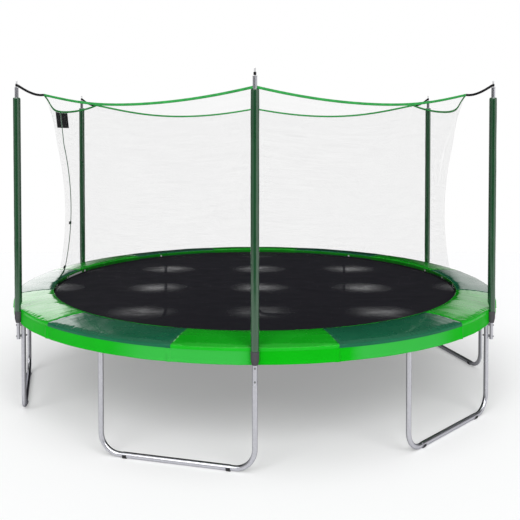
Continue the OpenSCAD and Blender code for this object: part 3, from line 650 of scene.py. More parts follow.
sideways = Vector((1, 0, 0))
sleeve = {
    "radius": 0.030,
    "bore": 0.0153,
    "bottom": 0.8712,
    "top": 2.670,
    "sides": 36,
    "rows": 110,
    "footBevel": 0.002,
    "edge": 0.006,
    "edgeBevel": 0.0018,
    "flatRadius": 2.2879,     # the pad and skirt press the foam flat up to here
    "flatTop": 0.926,
    "flatEase": 0.015,
    "slack": 0.0009,
    "seamHeights": (0.945, 0.1725, 2.662),
}


def poleSleeves():
    r, bore, edge, bevel = sleeve["radius"], sleeve["bore"], sleeve["edge"], sleeve["edgeBevel"]
    low, high, foot = sleeve["bottom"], sleeve["top"], sleeve["footBevel"]
    for number in range(6):
        bm = spinOutline([
            (bore, low, 0), (r - foot, low, 0), (r, low + foot, sleeve["rows"]), (r, high - edge, 0),
            (r - bevel, high - bevel, 0), (r - edge, high, 0), (bore, high, 0)], steps=sleeve["sides"])
        poleFoot = ringPoint(ring["poleRadius"], number * ring["legStep"], 0)
        for vert in bm.verts:
            out = Vector((vert.co.x, vert.co.y, 0))
            if out.length > bore + foot:
                tall = Vector((out.x * 3, out.y * 3, vert.co.z))
                puff = wobble(tall, 5, number) + 0.5 * wobble(tall, 19, number + 9) - 0.6
                vert.co += out.normalized() * sleeve["slack"] * puff
            vert.co += poleFoot
        pressFlat(bm, sleeve["flatTop"])
        piece = makePiece("poleSleeve%d" % (number + 1), bm, "sleeve_cloth", "frame",
                          ["pole_sleeve_%d" % (number + 1)])


def pressFlat(bm, top):
    radius, high = sleeve["flatRadius"], top + sleeve["flatEase"]
    for vert in bm.verts:
        flat = Vector((vert.co.x, vert.co.y, 0))
        if flat.length < radius and vert.co.z < high:
            vert.co += flat.normalized() * (radius - flat.length) * (1 - smoothStep(top, high, vert.co.z))


def sleeveSeams():
    # the cover's sewn edge, a thin ridge down the side that faces the net
    bm = bmesh.new()
    low, step, high = sleeve["seamHeights"]
    heights = [low + step * i for i in range(10)] + [high]
    for number in range(6):
        azimuth = number * ring["legStep"]
        reach = ring["poleRadius"] - sleeve["radius"] - 0.0002
        frames = framesAlong([ringPoint(reach, azimuth, z) for z in heights], ringPoint(1, azimuth + 90, 0))
        sweepSection(frames, roundedBar(0.007, 0.0018, 0.0006, 1), bm=bm)
    makePiece("sleeveSeams", bm, "sleeve_cloth", "frame")


cuff = {"bottom": 0.776, "top": 0.8708, "endRadius": 0.022, "radius": 0.030, "taper": 0.040}


def sleeveCuffs():
    whole = bmesh.new()
    r, e, low, high, bore = cuff["radius"], cuff["endRadius"], cuff["bottom"], cuff["top"], sleeve["bore"]
    for number in range(6):
        bm = spinOutline([
            (bore, low, 0), (e - 0.003, low, 0), (e - 0.0008, low + 0.001, 0), (e, low + 0.003, 3),
            (r, low + cuff["taper"], 4), (r, high - 0.002, 0), (r - 0.002, high, 0), (bore, high, 0)],
            steps=sleeve["sides"])
        moved(bm, Matrix.Translation(ringPoint(ring["poleRadius"], number * ring["legStep"], 0)))
        pressFlat(bm, high)
        mergeInto(whole, bm)
    piece = makePiece("sleeveCuffs", whole, "cuff_foam", "frame", ["sleeve_cuffs"])


poleSleeves()
sleeveSeams()
sleeveCuffs()
print("sleeves made")


bolt = {
    "heights": (0.756, 0.661),
    "radius": 0.004,
    "bevel": 0.0006,
    "head": 0.0076,
    "rim": 0.0012,
    "dome": 0.0050,
    "tail": 0.0292,     # from the ring inwards
    "face": 0.0152,     # from the pole's axis outwards
}


def poleBolts():
    whole = bmesh.new()
    tail, face = ring["railRadius"] - bolt["tail"], ring["poleRadius"] + bolt["face"]
    r, bevel, head, dome = bolt["radius"], bolt["bevel"], bolt["head"], bolt["dome"]
    outline = [(0.0, tail, 0), (r - bevel, tail, 0), (r, tail + bevel, 0), (r, face, 0), (head, face, 0),
               (head, face + bolt["rim"], 0), (head * 0.80, face + dome * 0.72, 0),
               (head * 0.45, face + dome * 0.94, 0), (0.0, face + dome, 0)]
    for number in range(6):
        for height in bolt["heights"]:
            lay = Matrix.Translation((0, 0, height)) @ Matrix.Rotation(math.radians(90), 4, "X")
            mergeInto(whole, moved(spinOutline(outline, steps=20), turnTo(number * ring["legStep"]) @ lay))
    bmesh.ops.remove_doubles(whole, verts=whole.verts, dist=1e-6)
    facesOut(whole)
    makePiece("poleBolts", whole, "dark_hardware", "frame", ["pole_bolts"], sharp=30)


poleBolts()
print("bolts made")


spring = {
    "coilRadius": 0.0085,
    "wire": 0.0015,
    "coilStart": 2.088,
    "coilEnd": 2.228,
    "turns": 34,
    "eyeCenter": 2.066,
    "eyeRadius": 0.0060,
    "hookStart": 2.257,
    "hookRadius": 0.005,
    "count": 96,
    "perGroup": 4,
    "heldAt": 2.245,
    "pulledAt": 2.075,
}


def springShape():
    # lies along -Y at the front, at the springs' height
    z, r, thick = ring["springHeight"], spring["coilRadius"], spring["wire"]
    near, far, steps = spring["coilStart"], spring["coilEnd"], spring["turns"] * 10
    bm = bmesh.new()
    loop = [bm.verts.new((0, x - near, y + z + r)) for x, y in roundWire(thick, 4)]
    for index in range(4):
        bm.edges.new((loop[index - 1], loop[index]))
    bmesh.ops.spin(bm, geom=bm.verts[:] + bm.edges[:], cent=(0, -near, z), axis=(0, 1, 0),
                   dvec=(0, (near - far) / steps, 0), angle=math.radians(360 * spring["turns"]), steps=steps)
    bmesh.ops.holes_fill(bm, edges=[edge for edge in bm.edges if edge.is_boundary], sides=0)
    bend = spring["eyeRadius"]
    eye = [(spring["eyeCenter"] + bend * math.cos(a), bend * math.sin(a)) for a in arc(20, 32, 11)]
    bend = spring["hookRadius"]
    hook = [(spring["hookStart"] + bend * math.sin(a), bend * math.cos(a) - bend) for a in arc(0, 35, 5)]
    for lead, end in (([(near - 0.001, r), (near - 0.006, r * 0.55)], eye),
                      ([(far + 0.001, r), (far + 0.008, r * 0.4)], hook)):
        sweepSection(framesAlong(frontRoute(lead + end, z), sideways), roundWire(thick, 5), bm=bm)
    facesOut(bm)
    return bm


def springGroups():
    bm = moved(springShape(), turnTo(-1.5 * ring["springStep"]))
    copyRound(bm, spring["perGroup"], ring["springStep"])
    pattern = meshOf(bm, "springPattern")
    groups = spring["count"] // spring["perGroup"]
    for number in range(groups):
        azimuth = (number + 0.5) * 360 / groups
        copy = copyOf(pattern, turnTo(azimuth))
        piece = makePiece("springs%02d" % (number + 1), copy, "zinc_hardware", sharp=80)
        if number == 0:
            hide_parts("springs")
        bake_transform(piece)
    bpy.data.meshes.remove(pattern)


vRing = {"wire": 0.0017, "depth": 0.034, "width": 0.040, "bend": 0.005, "tip": 2.0639}


def vRings():
    bar, bend, z = vRing["tip"] - vRing["depth"], vRing["bend"], ring["springHeight"]
    half, tipMid = vRing["width"] / 2 - bend, vRing["depth"] - bend
    lean = math.degrees(math.asin(half / math.hypot(half, tipMid - bend)))
    centers = ((half, bend, -90, lean), (0, tipMid, lean, 180 - lean), (-half, bend, 180 - lean, 270))
    points = []
    for x, y, first, last in centers:
        for a in arc(first, (last - first) / 4, 5):
            points.append(Vector((x + bend * math.cos(a), -(bar + y + bend * math.sin(a)), z)))
    frames = framesAlong(points, Vector((0, 0, 1)), closed=True)
    bm = sweepSection(frames, roundWire(vRing["wire"], 6), closed=True)
    moved(bm, turnTo(0.5 * ring["springStep"]))
    copyRound(bm, spring["count"], ring["springStep"])
    makePiece("vRings", bm, "zinc_hardware", "mat", ["v_rings"], sharp=80)


springGroups()
vRings()
print("springs made")


mat = {
    "radius": 2.0247,
    "thickness": 0.002,
    "steps": 192,
    "calm": (1.6, 1.9),     # from here outwards the springs pull it flat
    "waves": 0.0016,
    "webbingWidth": 0.045,
    "webbingThickness": 0.0018,
    "webbingGap": 0.0002,
    "webbingFold": 0.0003,
    "loopWidth": 0.022,
    "loopThickness": 0.0012,
    "loopLift": 0.0010,
    "loopSpan": (0.034, 0.004, -0.0035),     # from the mat's edge inwards
}


def matSheet():
    z, r, half = ring["springHeight"], mat["radius"], mat["thickness"] / 2
    bm = spinOutline([(0.0, z + half, 22), (r, z + half, 0), (r, z - half, 22), (0.0, z - half, 0)],
                     steps=mat["steps"])
    for vert in bm.verts:
        calm = 1 - smoothStep(*mat["calm"], reachOf(vert.co))
        vert.co.z += mat["waves"] * calm * wobble((vert.co.x, vert.co.y, 0), 1.3, 4)
    piece = makePiece("jumpingMat", bm, "mat_cloth", "mat", ["mat"])


def matWebbing():
    z, edge, thick = ring["springHeight"], mat["radius"], mat["webbingThickness"]
    start, fold = edge - mat["webbingWidth"], edge + mat["webbingFold"]
    inner = mat["thickness"] / 2 + mat["webbingGap"]
    outer = inner + thick
    bm = spinOutline([
        (start, z + inner, 3), (fold, z + inner, 0), (fold, z - inner, 3), (start, z - inner, 0),
        (start, z - outer, 3), (edge, z - outer, 0), (edge + thick, z, 0), (edge, z + outer, 3),
        (start, z + outer, 0)], steps=mat["steps"])
    piece = makePiece("matWebbing", bm, "black_webbing", "mat", ["mat_webbing"])


def matLoops():
    # one flat strap from the top of the webbing, round a V-ring's bar and back underneath
    edge, bar = mat["radius"], vRing["tip"] - vRing["depth"]
    turn = vRing["wire"] + mat["webbingGap"] + mat["loopThickness"] / 2
    lift = mat["thickness"] / 2 + mat["webbingThickness"] + mat["loopLift"]
    start, rim, past = mat["loopSpan"]
    over = [(edge - start, lift), (edge - rim, lift), (edge - past, turn + 0.0005)]
    bend = [(bar + turn * math.sin(a), turn * math.cos(a)) for a in arc(0, 22.5, 9)]
    back = [(reach, -rise) for reach, rise in reversed(over)]
    points = frontRoute(over + bend + back, ring["springHeight"])
    strip = roundedBar(mat["loopWidth"], mat["loopThickness"], 0.0005, 1)
    bm = moved(sweepSection(framesAlong(points, sideways), strip), turnTo(0.5 * ring["springStep"]))
    copyRound(bm, spring["count"], ring["springStep"])
    makePiece("matLoops", bm, "black_webbing", "mat", sharp=60)


matSheet()
matWebbing()
matLoops()
print("mat made")


pad = {
    "innerRadius": 1.9419,
    "outerRadius": 2.2869,
    "bottomInner": 0.883,
    "bottomOuter": 0.8737,
    "lipHeight": 0.8657,
    "lipThickness": 0.005,
    "topInner": 0.9185,
    "topOuter": 0.8950,
    "crown": 0.008,
    "rollInner": 0.006,
    "rollOuter": 0.014,
    "heldBelow": 0.8845,
    "seamHold": 0.004,
    "stepRadius": 2.229,
    "rows": 34,
    "steps": 96,
    "gap": 0.010,
    "pressure": 1.6,
    "pressure": 1.6,
    "frames": 20,
    "mostSwell": 0.0032,
    "coverSlack": 0.008,
    "netGap": 0.003,
    "cloth": {"quality": 6, "mass": 0.2, "tension_stiffness": 18, "compression_stiffness": 18,
              "shear_stiffness": 8, "bending_stiffness": 0.4, "use_pressure": True,
              "vertex_group_mass": "held"},
}


def padTop(t):  # height of the cover's top at a share of the way out
    return pad["topInner"] + t * (pad["topOuter"] - pad["topInner"]) + pad["crown"] * 4 * t * (1 - t)


def padShape():
    # one section about the front, its seams at both ends
    ri, ro, inRoll, outRoll = pad["innerRadius"], pad["outerRadius"], pad["rollInner"], pad["rollOuter"]
    corners = [(ri + inRoll * (1 + math.cos(a)), pad["topInner"] - inRoll * (1 - math.sin(a)), 0)
               for a in arc(180, -22.5, 5)]
    for step in range(1, pad["rows"]):
        t = step / pad["rows"]
        corners.append((ri + inRoll + t * (ro - ri - inRoll - outRoll), padTop(t), 0))
    corners += [(ro - outRoll * (1 - math.cos(a)), pad["topOuter"] - outRoll * (1 - math.sin(a)), 0)
                for a in arc(90, -22.5, 5)]
    inner, low = ro - pad["lipThickness"], pad["lipHeight"]
    corners[-1] = (*corners[-1][:2], 2)
    corners += [(ro, low, 0), (inner, low, 0), (inner, pad["bottomOuter"], 4),
                (pad["stepRadius"] + 0.008, pad["bottomOuter"], 0),
                (pad["stepRadius"], pad["bottomInner"], 24), (ri + 0.003, pad["bottomInner"], 2)]
    half = ring["padStep"] / 2 - pad["gap"]
    return spinOutline(corners, sweep=2 * half, steps=pad["steps"], start=-half)


def padSpot(point):  # how far along a section, how far out, and how far from its nearer seam
    azimuth, reach = azimuthOf(point), reachOf(point)
    return azimuth, reach, (ring["padStep"] / 2 - abs(azimuth)) * math.radians(1) * reach


crease = {
    "cover": (0.885, 0.893),     # heights between which a point changes from the underside to the cover
    "rim": (2.255, 2.275),
    "seamPull": 0.0012,
    "seamWidth": 0.012,
    "fade": 0.12,
    "depth": 0.0005,
    "waves": 70,
    "drift": 0.0030,
    "ripple": 0.0004,
}


def creasePad(bm, seed):
    # the cover pulls in at its seams, and soft creases run from them
    for vert in bm.verts:
        azimuth, reach, fromSeam = padSpot(vert.co)
        top = smoothStep(*crease["cover"], vert.co.z)
        if top <= 0:
            continue
        pull = crease["seamPull"] * math.exp(-((fromSeam / crease["seamWidth"]) ** 2))
        fade = math.exp(-fromSeam / crease["fade"])
        bent = 5 * wobble((reach * 3, azimuth * 0.05, 0), 1, seed)
        fine = crease["depth"] * fade * math.sin((reach - 1.94) * crease["waves"] + bent)
        drift = crease["drift"] * wobble((azimuth * 0.15, reach * 4, 0), 1, seed + 5)
        ripple = crease["ripple"] * wobble((azimuth * 0.9, reach * 5, 0), 1, seed + 8)
        rim = 1 - smoothStep(*crease["rim"], reach)
        vert.co.z += top * rim * (fine + drift + ripple - pull) - top * (1 - rim) * pull * 0.4


def swellPad(bm):
    # the cover is blown up over its filling, held along its underside, its lip and its seams
    start = meshOf(bm, "padStart")
    cover = bpy.data.objects.new("padCover", start)
    scene.collection.objects.link(cover)
    held = cover.vertex_groups.new(name="held")
    for vert in start.vertices:
        _, reach, fromSeam = padSpot(vert.co)
        inRoll = reach < pad["innerRadius"] + 0.006 and vert.co.z < pad["topInner"] - 0.003
        onLip = reach > pad["outerRadius"] - 0.004
        if inRoll or onLip or vert.co.z < pad["heldBelow"] or fromSeam < pad["seamHold"]:
            held.add([vert.index], 1.0, "REPLACE")
    cloth = cover.modifiers.new("swell", "CLOTH")
    for key, value in pad["cloth"].items():
        setattr(cloth.settings, key, value)
    cloth.settings.uniform_pressure_force = pad["pressure"]
    cloth.settings.shrink_min = -pad["coverSlack"]
    cloth.settings.effector_weights.gravity = 0
    cloth.collision_settings.use_collision = False
    cloth.point_cache.frame_start = 1
    cloth.point_cache.frame_end = pad["frames"]
    for step in range(1, pad["frames"] + 1):
        scene.frame_set(step)
    shown = cover.evaluated_get(bpy.context.evaluated_depsgraph_get())
    swollen = bpy.data.meshes.new_from_object(shown)
    least = pad["innerRadius"] - pad["netGap"]
    for before, after in zip(start.vertices, swollen.vertices):
        shift = after.co - before.co
        if shift.length > pad["mostSwell"]:
            shift *= pad["mostSwell"] / shift.length
        place = before.co + shift
        reach = reachOf(place)
        if reach < least:  # stays clear of the net
            place.x *= least / reach
            place.y *= least / reach
        after.co = place
    scene.frame_set(1)
    bpy.data.objects.remove(cover)
    bpy.data.meshes.remove(start)
    return swollen


def safetyPads():
    # two covers are made, and each serves every second section
    patterns = []
    for seed in (1.7, 6.3):
        bm = padShape()
        creasePad(bm, seed)
        patterns.append(swellPad(bm))
    for number in range(12):
        flip = Matrix.Diagonal((-1, 1, 1, 1)) if number // 2 % 2 else Matrix.Identity(4)
        bm = copyOf(patterns[number % 2], turnTo(number * ring["padStep"]) @ flip)
        facesOut(bm)
        slotName = "pad_dark_green" if number % 2 else "pad_light_green"
        stands = ["pad_%d" % (number + 1)]
        piece = makePiece("pad%02d" % (number + 1), bm, slotName, "frame", stands, sharp=60)
    for pattern in patterns:
        bpy.data.meshes.remove(pattern)


seam = {"from": 1.952, "to": 2.273, "drop": 0.0010, "width": 0.0044, "thickness": 0.0016}


def padSeams():
    # the sewn joint between two sections, a flat narrow tape that runs over the pad
    span = seam["to"] - seam["from"]
    route = [(seam["from"] + t * span, padTop(t) - seam["drop"]) for t in (step / 24 for step in range(25))]
    strip = roundedBar(seam["width"], seam["thickness"], 0.0006, 1)
    bm = sweepSection(framesAlong(frontRoute(route), sideways), strip)
    moved(bm, turnTo(ring["padStep"] / 2))
    copyRound(bm, 12, ring["padStep"])
    makePiece("padSeams", bm, "pad_dark_green", "frame", sharp=60)


binding = {"foot": 0.890, "thickness": 0.0008, "gap": 0.0002, "lean": 0.0023}


def padBinding():
    # the light green edge that is sewn round the pads' inner side, up over their roll
    center, height = pad["innerRadius"] + pad["rollInner"], pad["topInner"] - pad["rollInner"]
    near, far = binding["gap"], binding["gap"] + binding["thickness"]
    corners = []
    for out, angles in ((far, arc(180, -20, 3)), (near, arc(140, 20, 3))):
        radius = pad["rollInner"] + out
        corners += [(center + radius * math.cos(a), height + radius * math.sin(a), 0) for a in angles]
    lean = pad["innerRadius"] + binding["lean"]
    corners += [(lean - near, binding["foot"], 0), (lean - far, binding["foot"], 2)]
    makePiece("padBinding", spinOutline(corners, steps=240), "pad_light_green", "frame", sharp=50)


tie = {"width": 0.020, "thickness": 0.0014, "azimuths": (-11.25, 11.25), "reach": 0.0194, "foot": 0.006}


def padTies():
    # elastic loop from the pad's underside round the rail
    bm = bmesh.new()
    middle, reach, foot = ring["railRadius"], tie["reach"] + tie["thickness"] / 2, pad["bottomOuter"] + 0.0004
    route = [(middle - reach * math.cos(a), ring["railHeight"] + reach * math.sin(a))
             for a in arc(70, -320 / 18, 19)]
    points = frontRoute([(middle - tie["foot"], foot), *route, (middle + tie["foot"], foot)])
    for azimuth in tie["azimuths"]:
        frames = framesAlong([turnTo(azimuth) @ p for p in points], turnTo(azimuth) @ sideways)
        sweepSection(frames, roundedBar(tie["width"], tie["thickness"], 0.0005, 1), bm=bm)
    copyRound(bm, 12, ring["padStep"])
    makePiece("padTies", bm, "black_webbing", "frame", ["pad_ties"], sharp=60)


skirt = {
    "innerRadius": 2.2854,
    "thickness": 0.0014,
    "top": 0.8654,
    "bottom": 0.7707,
    "hem": 0.014,
    "hemThickness": 0.0006,
    "endGap": 0.008,
    "steps": 72,
    "foldWidth": 0.018,
    "foldDepth": 0.009,
    "foldAtTop": 0.35,
    "grip": 0.03,
    "calm": (0.9, 2.6),
    "waveDepth": 0.0075,
    "waveRise": 0.0018,
}


def skirtFold(fromSeam):  # metres past a seam, negative before it; the cover laps over itself there
    ridge = math.exp(-(((fromSeam - 0.013) / skirt["foldWidth"]) ** 2))
    groove = math.exp(-(((fromSeam + 0.012) / (skirt["foldWidth"] * 0.7)) ** 2))
    return skirt["foldDepth"] * (ridge - 0.15 * groove)


def skirtSheet():
    r, top, low = skirt["innerRadius"], skirt["top"], skirt["bottom"]
    out, hem = r + skirt["thickness"], low + skirt["hem"]
    thick = skirt["hemThickness"]
    half = ring["padStep"] / 2
    end = half - skirt["endGap"]
    whole = bmesh.new()
    for number in range(12):
        bm = spinOutline([
            (r, top, 0), (out, top, 9), (out, hem, 0), (out + thick, hem - 0.001, 1),
            (out + thick, low + 0.001, 0), (out - 0.0002, low, 0), (r, low + 0.0006, 1), (r, hem, 9)],
            sweep=2 * end, steps=skirt["steps"], start=-end)
        for vert in bm.verts:
            # rows crowd towards the seams, where the folds are
            azimuth = half * math.sin(math.radians(90 * azimuthOf(vert.co) / half))
            azimuth = max(-end, min(end, azimuth))
            turn = azimuth + number * ring["padStep"]
            vert.co = ringPoint(reachOf(vert.co), turn, vert.co.z)
            hang = smoothStep(top, low, vert.co.z)
            place = (math.cos(math.radians(turn)), math.sin(math.radians(turn)), 0)
            wave = 0.5 + 0.5 * wobble(place, 9, 2) + 0.35 * wobble(place, 26, 6)
            # the sleeves press the skirt flat
            calm = smoothStep(*skirt["calm"], abs((turn + 30) % 60 - 30))
            along, span = math.radians(azimuth) * r, math.radians(half) * r
            fold = skirtFold(along + span) + skirtFold(along - span)
            grip = smoothStep(top, top - skirt["grip"], vert.co.z)
            spread = skirt["foldAtTop"] + (1 - skirt["foldAtTop"]) * grip
            push = max(0.0, wave) * skirt["waveDepth"] * hang * calm + max(0.0, fold) * spread
            vert.co += Vector((vert.co.x, vert.co.y, 0)).normalized() * push
            vert.co.z += skirt["waveRise"] * hang * wobble(place, 14, 11)
        mergeInto(whole, bm)
    piece = makePiece("padSkirt", whole, "skirt_green", "frame", ["skirt"], sharp=70)


safetyPads()
padSeams()
padBinding()
padTies()
skirtSheet()
print("pads and skirt made")


net = {
    "waistRadius": 1.834,
    "waistHeight": 1.640,
    "curveRadius": 2.925,
    "headHeight": 2.255,
    "midRadius": 1.935,
    "midHeight": 2.600,
    "cornerRadius": 2.081,
    "cornerHeight": 2.709,
    "foot": 0.8845,
    "columns": 48,
    "rows": 40,
    "drape": 0.0035,
    "tug": 0.006,
    "underBand": 0.010,
}


def curveRadius(z):
    bend = net["curveRadius"]
    return net["waistRadius"] + bend - math.sqrt(bend ** 2 - (z - net["waistHeight"]) ** 2)


def curveLean(z):  # the curve's angle from upright
    return math.atan((curveRadius(z + 0.01) - curveRadius(z - 0.01)) / 0.02)


def netTop(phi):  # phi: degrees from mid-panel
    return (net["midRadius"] + (net["cornerRadius"] - net["midRadius"]) * (abs(phi) / 30) ** 3.5,
            net["midHeight"] + (net["cornerHeight"] - net["midHeight"]) * (phi / 30) ** 2)


def netRadius(phi, z):
    if z <= net["headHeight"]:
        return curveRadius(z)
    topRadius, topHeight = netTop(phi)
    base = curveRadius(net["headHeight"])
    return base + (topRadius - base) * (z - net["headHeight"]) / (topHeight - net["headHeight"])


def netPoint(panelMid, phi, z, out=0.0):
    return ringPoint(netRadius(phi, z) + out, panelMid + phi, z)


def netFold(phi, share, seed):
    # soft upright folds, deepest high up beside the corners
    corner = (abs(phi) / 30) ** 3
    drape = net["drape"] * wobble((phi * 0.35, share * 0.8, 0), 1, seed)
    tug = net["tug"] * corner * math.sin(share * 9 + phi * 0.9) * smoothStep(0.35, 0.95, share)
    return (drape + tug) * smoothStep(0.0, 0.12, share) * smoothStep(1.0, 0.97, share)


def netPanels():
    for number in range(6):
        middle = (number + 0.5) * ring["legStep"]
        bm = bmesh.new()
        bm.loops.layers.uv.new("UVMap")
        bmesh.ops.create_grid(bm, x_segments=net["columns"], y_segments=net["rows"], size=1.0, calc_uvs=True)
        for vert in bm.verts:
            phi, share = 29.99 * vert.co.x, (vert.co.y + 1) / 2
            topHeight = netTop(phi)[1] - net["underBand"]
            z = net["foot"] + share * (topHeight - net["foot"])
            vert.co = netPoint(middle, phi, z, netFold(phi, share, number * 2.3 + 1) - 0.0006)
        facesOut(bm)
        area = sum(face.calc_area() for face in bm.faces)
        piece = makePiece("netPanel%d" % (number + 1), bm, "net_mesh",
                          stands=["net_panel_%d" % (number + 1)], sharp=180)
        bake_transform(piece)


band = {"width": 0.020, "thickness": 0.0034, "steps": 48}


def netBand():
    bm = bmesh.new()
    for number in range(6):
        middle = (number + 0.5) * ring["legStep"]
        points, outs = [], []
        for step in range(band["steps"] + 1):
            phi = 29.97 * (2 * step / band["steps"] - 1)
            top = netTop(phi)[1]
            slack = 0.0012 * wobble((phi * 0.4, number, 0), 1, 3)
            points.append(netPoint(middle, phi, top - band["width"] / 2, slack))
            outs.append(ringPoint(1, middle + phi, 0))
        frames = framesAlong(points, lambda i: outs[i])
        sweepSection(frames, roundedBar(band["thickness"], band["width"], 0.0012), bm=bm)
    piece = makePiece("netBand", bm, "band_green", "frame", ["net_top_band"], sharp=60)


strap = {"width": 0.020, "thickness": 0.0028, "loopRadius": 0.0085, "height": 2.773, "sag": 0.022}


def cornerStraps():
    thick, wide = strap["thickness"], strap["width"]
    start, end = net["cornerRadius"] - 0.002, ring["poleRadius"] - strap["loopRadius"]
    low, high = net["cornerHeight"] - band["width"] / 2, strap["height"]
    route = []
    for t in (step / 14 for step in range(15)):
        drop = strap["sag"] * 4 * t * (1 - t) * (1.25 - 0.5 * t)
        route.append((start + t * (end - start), low + t * (high - low) - drop))
    bm = sweepSection(framesAlong(frontRoute(route), sideways), roundedBar(thick, wide, 0.001))
    near, far = strap["loopRadius"] - thick / 2, strap["loopRadius"] + thick / 2
    collar = spinOutline([(near, high - wide / 2, 0), (far, high - wide / 2, 2), (far, high + wide / 2, 0),
                          (near, high + wide / 2, 2)], steps=24)
    mergeInto(bm, moved(collar, Matrix.Translation((0, -ring["poleRadius"], 0))))
    copyRound(bm, 6, ring["legStep"])
    makePiece("cornerStraps", bm, "black_webbing", "frame", ["corner_straps"], sharp=60)


hem = {
    "rise": 0.0011,
    "inset": 0.0012,
    "outer": 1.976,
    "thickness": 0.0018,
    "bend": ((0.0045, 0.0018), (0.0022, 0.0035)),     # out from the foot circle, and up
    "steps": 240,
}


def netHem():
    z, top = ring["springHeight"] + hem["rise"], net["foot"] + 0.001
    inner, outer, thick = curveRadius(net["foot"]) - hem["inset"], hem["outer"], hem["thickness"]
    (out, up), (nextOut, nextUp) = hem["bend"]
    bm = spinOutline([
        (inner, z, 3), (outer, z, 0), (outer, z + thick, 3), (inner + out, z + up, 0),
        (inner + nextOut, z + nextUp, 2), (inner + thick, top, 0), (inner, top, 2)], steps=hem["steps"])
    piece = makePiece("netHem", bm, "black_webbing", "mat", ["net_hem"], sharp=60)


tongue = {"azimuths": (24, 36, 72, 84, 96, 108, 144), "width": 0.017, "foot": 0.8795, "top": 0.904,
          "reach": 1.9352, "thickness": 0.0022}


def clipTongues():
    # the hem clips' upright tongues, at the pads' inner edge
    bm = bmesh.new()
    size = Matrix.Diagonal((tongue["width"], tongue["thickness"], tongue["top"] - tongue["foot"], 1))
    lift = Matrix.Translation((0, -tongue["reach"], (tongue["foot"] + tongue["top"]) / 2))
    for azimuth in tongue["azimuths"]:
        for side in (-1, 1):
            bmesh.ops.create_cube(bm, size=1.0, matrix=turnTo(azimuth * side) @ lift @ size)
    softenEdges(bm, 0.0008)
    makePiece("clipTongues", bm, "cap_plastic", "mat")


sill = {"from": 97.0, "to": 106.0, "reach": 1.9338, "thickness": 0.0014, "foot": 0.880, "height": 0.022}


def doorSill():
    # pale binding along the foot of the door
    near, low = sill["reach"], sill["foot"]
    far, high = near + sill["thickness"], low + sill["height"]
    bm = spinOutline([(near, low, 2), (far, low, 3), (far, high, 2), (near, high, 3)],
                     sweep=sill["to"] - sill["from"], steps=24, start=sill["from"])
    makePiece("doorSill", bm, "cap_plastic", "mat")


netPanels()
netBand()
cornerStraps()
netHem()
clipTongues()
doorSill()
print("net made")


door = {
    "azimuth": 90,
    "tapeWidth": 0.026,
    "tapeThickness": 0.0010,
    "tapeOut": 0.0018,
    "tapeTop": 0.004,
    "bendStart": 0.045,
    "bendFall": 0.0756,
    "bendTurn": 9.0,
    "tooth": (0.0022, 0.0042, 0.0024, 1),
    "toothStep": 0.0044,
    "toothSide": 0.0014,
    "toothOut": 0.0034,
    "bottom": 0.965,
    "patchGap": 0.50,
    "patchHalf": 6.5,
    "patchBottom": 2.430,
    "patchOut": 0.0022,
    "patchThickness": 0.0011,
}


def zipRoute(step=0.03):
    # from the top of the net straight down the door's middle, its foot bending to the front along the pad
    route = []
    z = net["midHeight"] - band["width"] + door["tapeTop"]
    while z > door["bottom"] + 0.05:
        route.append((z, 0.0))
        z -= step
    start = door["bottom"] + door["bendStart"]
    for t in (index / 8 for index in range(9)):
        route.append((start - door["bendFall"] * t * t, door["bendTurn"] * t ** 2.2))
    return route


def doorZip():
    route = zipRoute()
    points = [ringPoint(netRadius(0, z) + door["tapeOut"], door["azimuth"] - turn, z) for z, turn in route]
    outs = [ringPoint(1, door["azimuth"] - turn, 0) for z, turn in route]
    tape = roundedBar(door["tapeThickness"], door["tapeWidth"], 0.0004, 1)
    bm = sweepSection(framesAlong(points, lambda i: outs[i]), tape)
    piece = makePiece("doorZipTape", bm, "zip_tape", "frame", ["door_zip"], sharp=60)


def zipTeeth():
    bm = bmesh.new()
    z, count = door["bottom"] - 0.002, 0
    while z < net["midHeight"] - band["width"]:
        place = ringPoint(netRadius(0, z) + door["toothOut"], door["azimuth"], z)
        place.y += door["toothSide"] if count % 2 else -door["toothSide"]
        leant = Matrix.Translation(place) @ Matrix.Rotation(-curveLean(z), 4, "Y")
        bmesh.ops.create_cube(bm, size=1.0, matrix=leant @ Matrix.Diagonal(door["tooth"]))
        z += door["toothStep"]
        count += 1
    makePiece("zipTeeth", bm, "zip_tape", "frame", sharp=30)


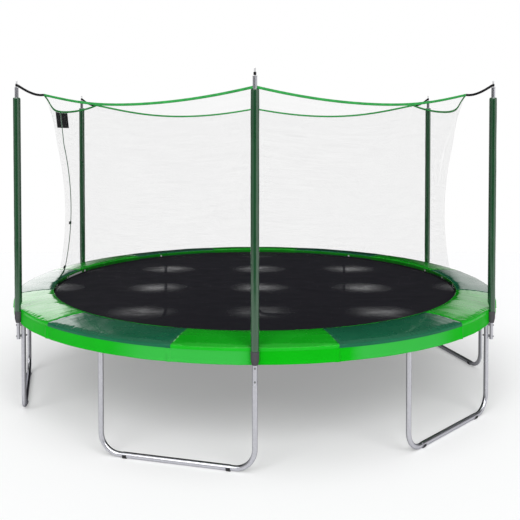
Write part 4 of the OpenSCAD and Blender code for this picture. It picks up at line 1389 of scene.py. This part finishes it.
slider = {
    "height": 1.010,
    "body": (0.0030, 0.0125, 0.021, 1),
    "taper": 0.72,
    "out": 0.0046,
    "bridge": ((0.0058, 0.0075), (0.0078, 0.0060), (0.0080, 0.0), (0.0076, -0.0055), (0.0058, -0.0070)),
    "tabOut": 0.0092,
    "tabTop": -0.0045,
    "tabStep": 0.004,
}


def zipSlider():
    bm = bmesh.new()
    bmesh.ops.create_cube(bm, size=1.0, matrix=Matrix.Diagonal(slider["body"]))
    for vert in bm.verts:
        if vert.co.z < 0:
            vert.co.y *= slider["taper"]
    softenEdges(bm, 0.0009)
    moved(bm, Matrix.Translation((-slider["out"], 0, 0)))
    bridge = [Vector((-out, 0, rise)) for out, rise in slider["bridge"]]
    tab = [Vector((-slider["tabOut"], 0, slider["tabTop"] - slider["tabStep"] * i)) for i in range(9)]
    for points, bar in ((bridge, (0.0036, 0.0012, 0.0004, 1)), (tab, (0.0062, 0.0013, 0.0005, 1))):
        sweepSection(framesAlong(points, Vector((0, 1, 0))), roundedBar(*bar), bm=bm)
    z = slider["height"]
    place = Matrix.Translation((-curveRadius(z) - door["toothOut"], 0, z))
    moved(bm, place @ Matrix.Rotation(-curveLean(z), 4, "Y"))
    makePiece("zipSlider", bm, "zinc_hardware", "slider", ["zip_slider"], sharp=35)


def doorPatch():
    for index, side in enumerate((-1, 1)):
        bm = bmesh.new()
        bmesh.ops.create_grid(bm, x_segments=12, y_segments=8, size=1.0)
        for vert in bm.verts:
            phi = side * (door["patchGap"] + (door["patchHalf"] - door["patchGap"]) * (vert.co.x + 1) / 2)
            top = netTop(phi)[1] - band["width"] - 0.001
            z = door["patchBottom"] + (vert.co.y + 1) / 2 * (top - door["patchBottom"])
            ease = 0.0008 * wobble((phi, z * 9, 0), 0.9, 8 + side)
            vert.co = netPoint(door["azimuth"], phi, z, door["patchOut"] + ease)
        facesOut(bm)
        bmesh.ops.solidify(bm, geom=bm.faces[:], thickness=door["patchThickness"])
        facesOut(bm)
        piece = makePiece("doorPatch%d" % (index + 1), bm, "black_webbing", "frame",
                          () if index else ["door_patch"], sharp=60)


doorZip()
zipTeeth()
zipSlider()
doorPatch()
print("door made")
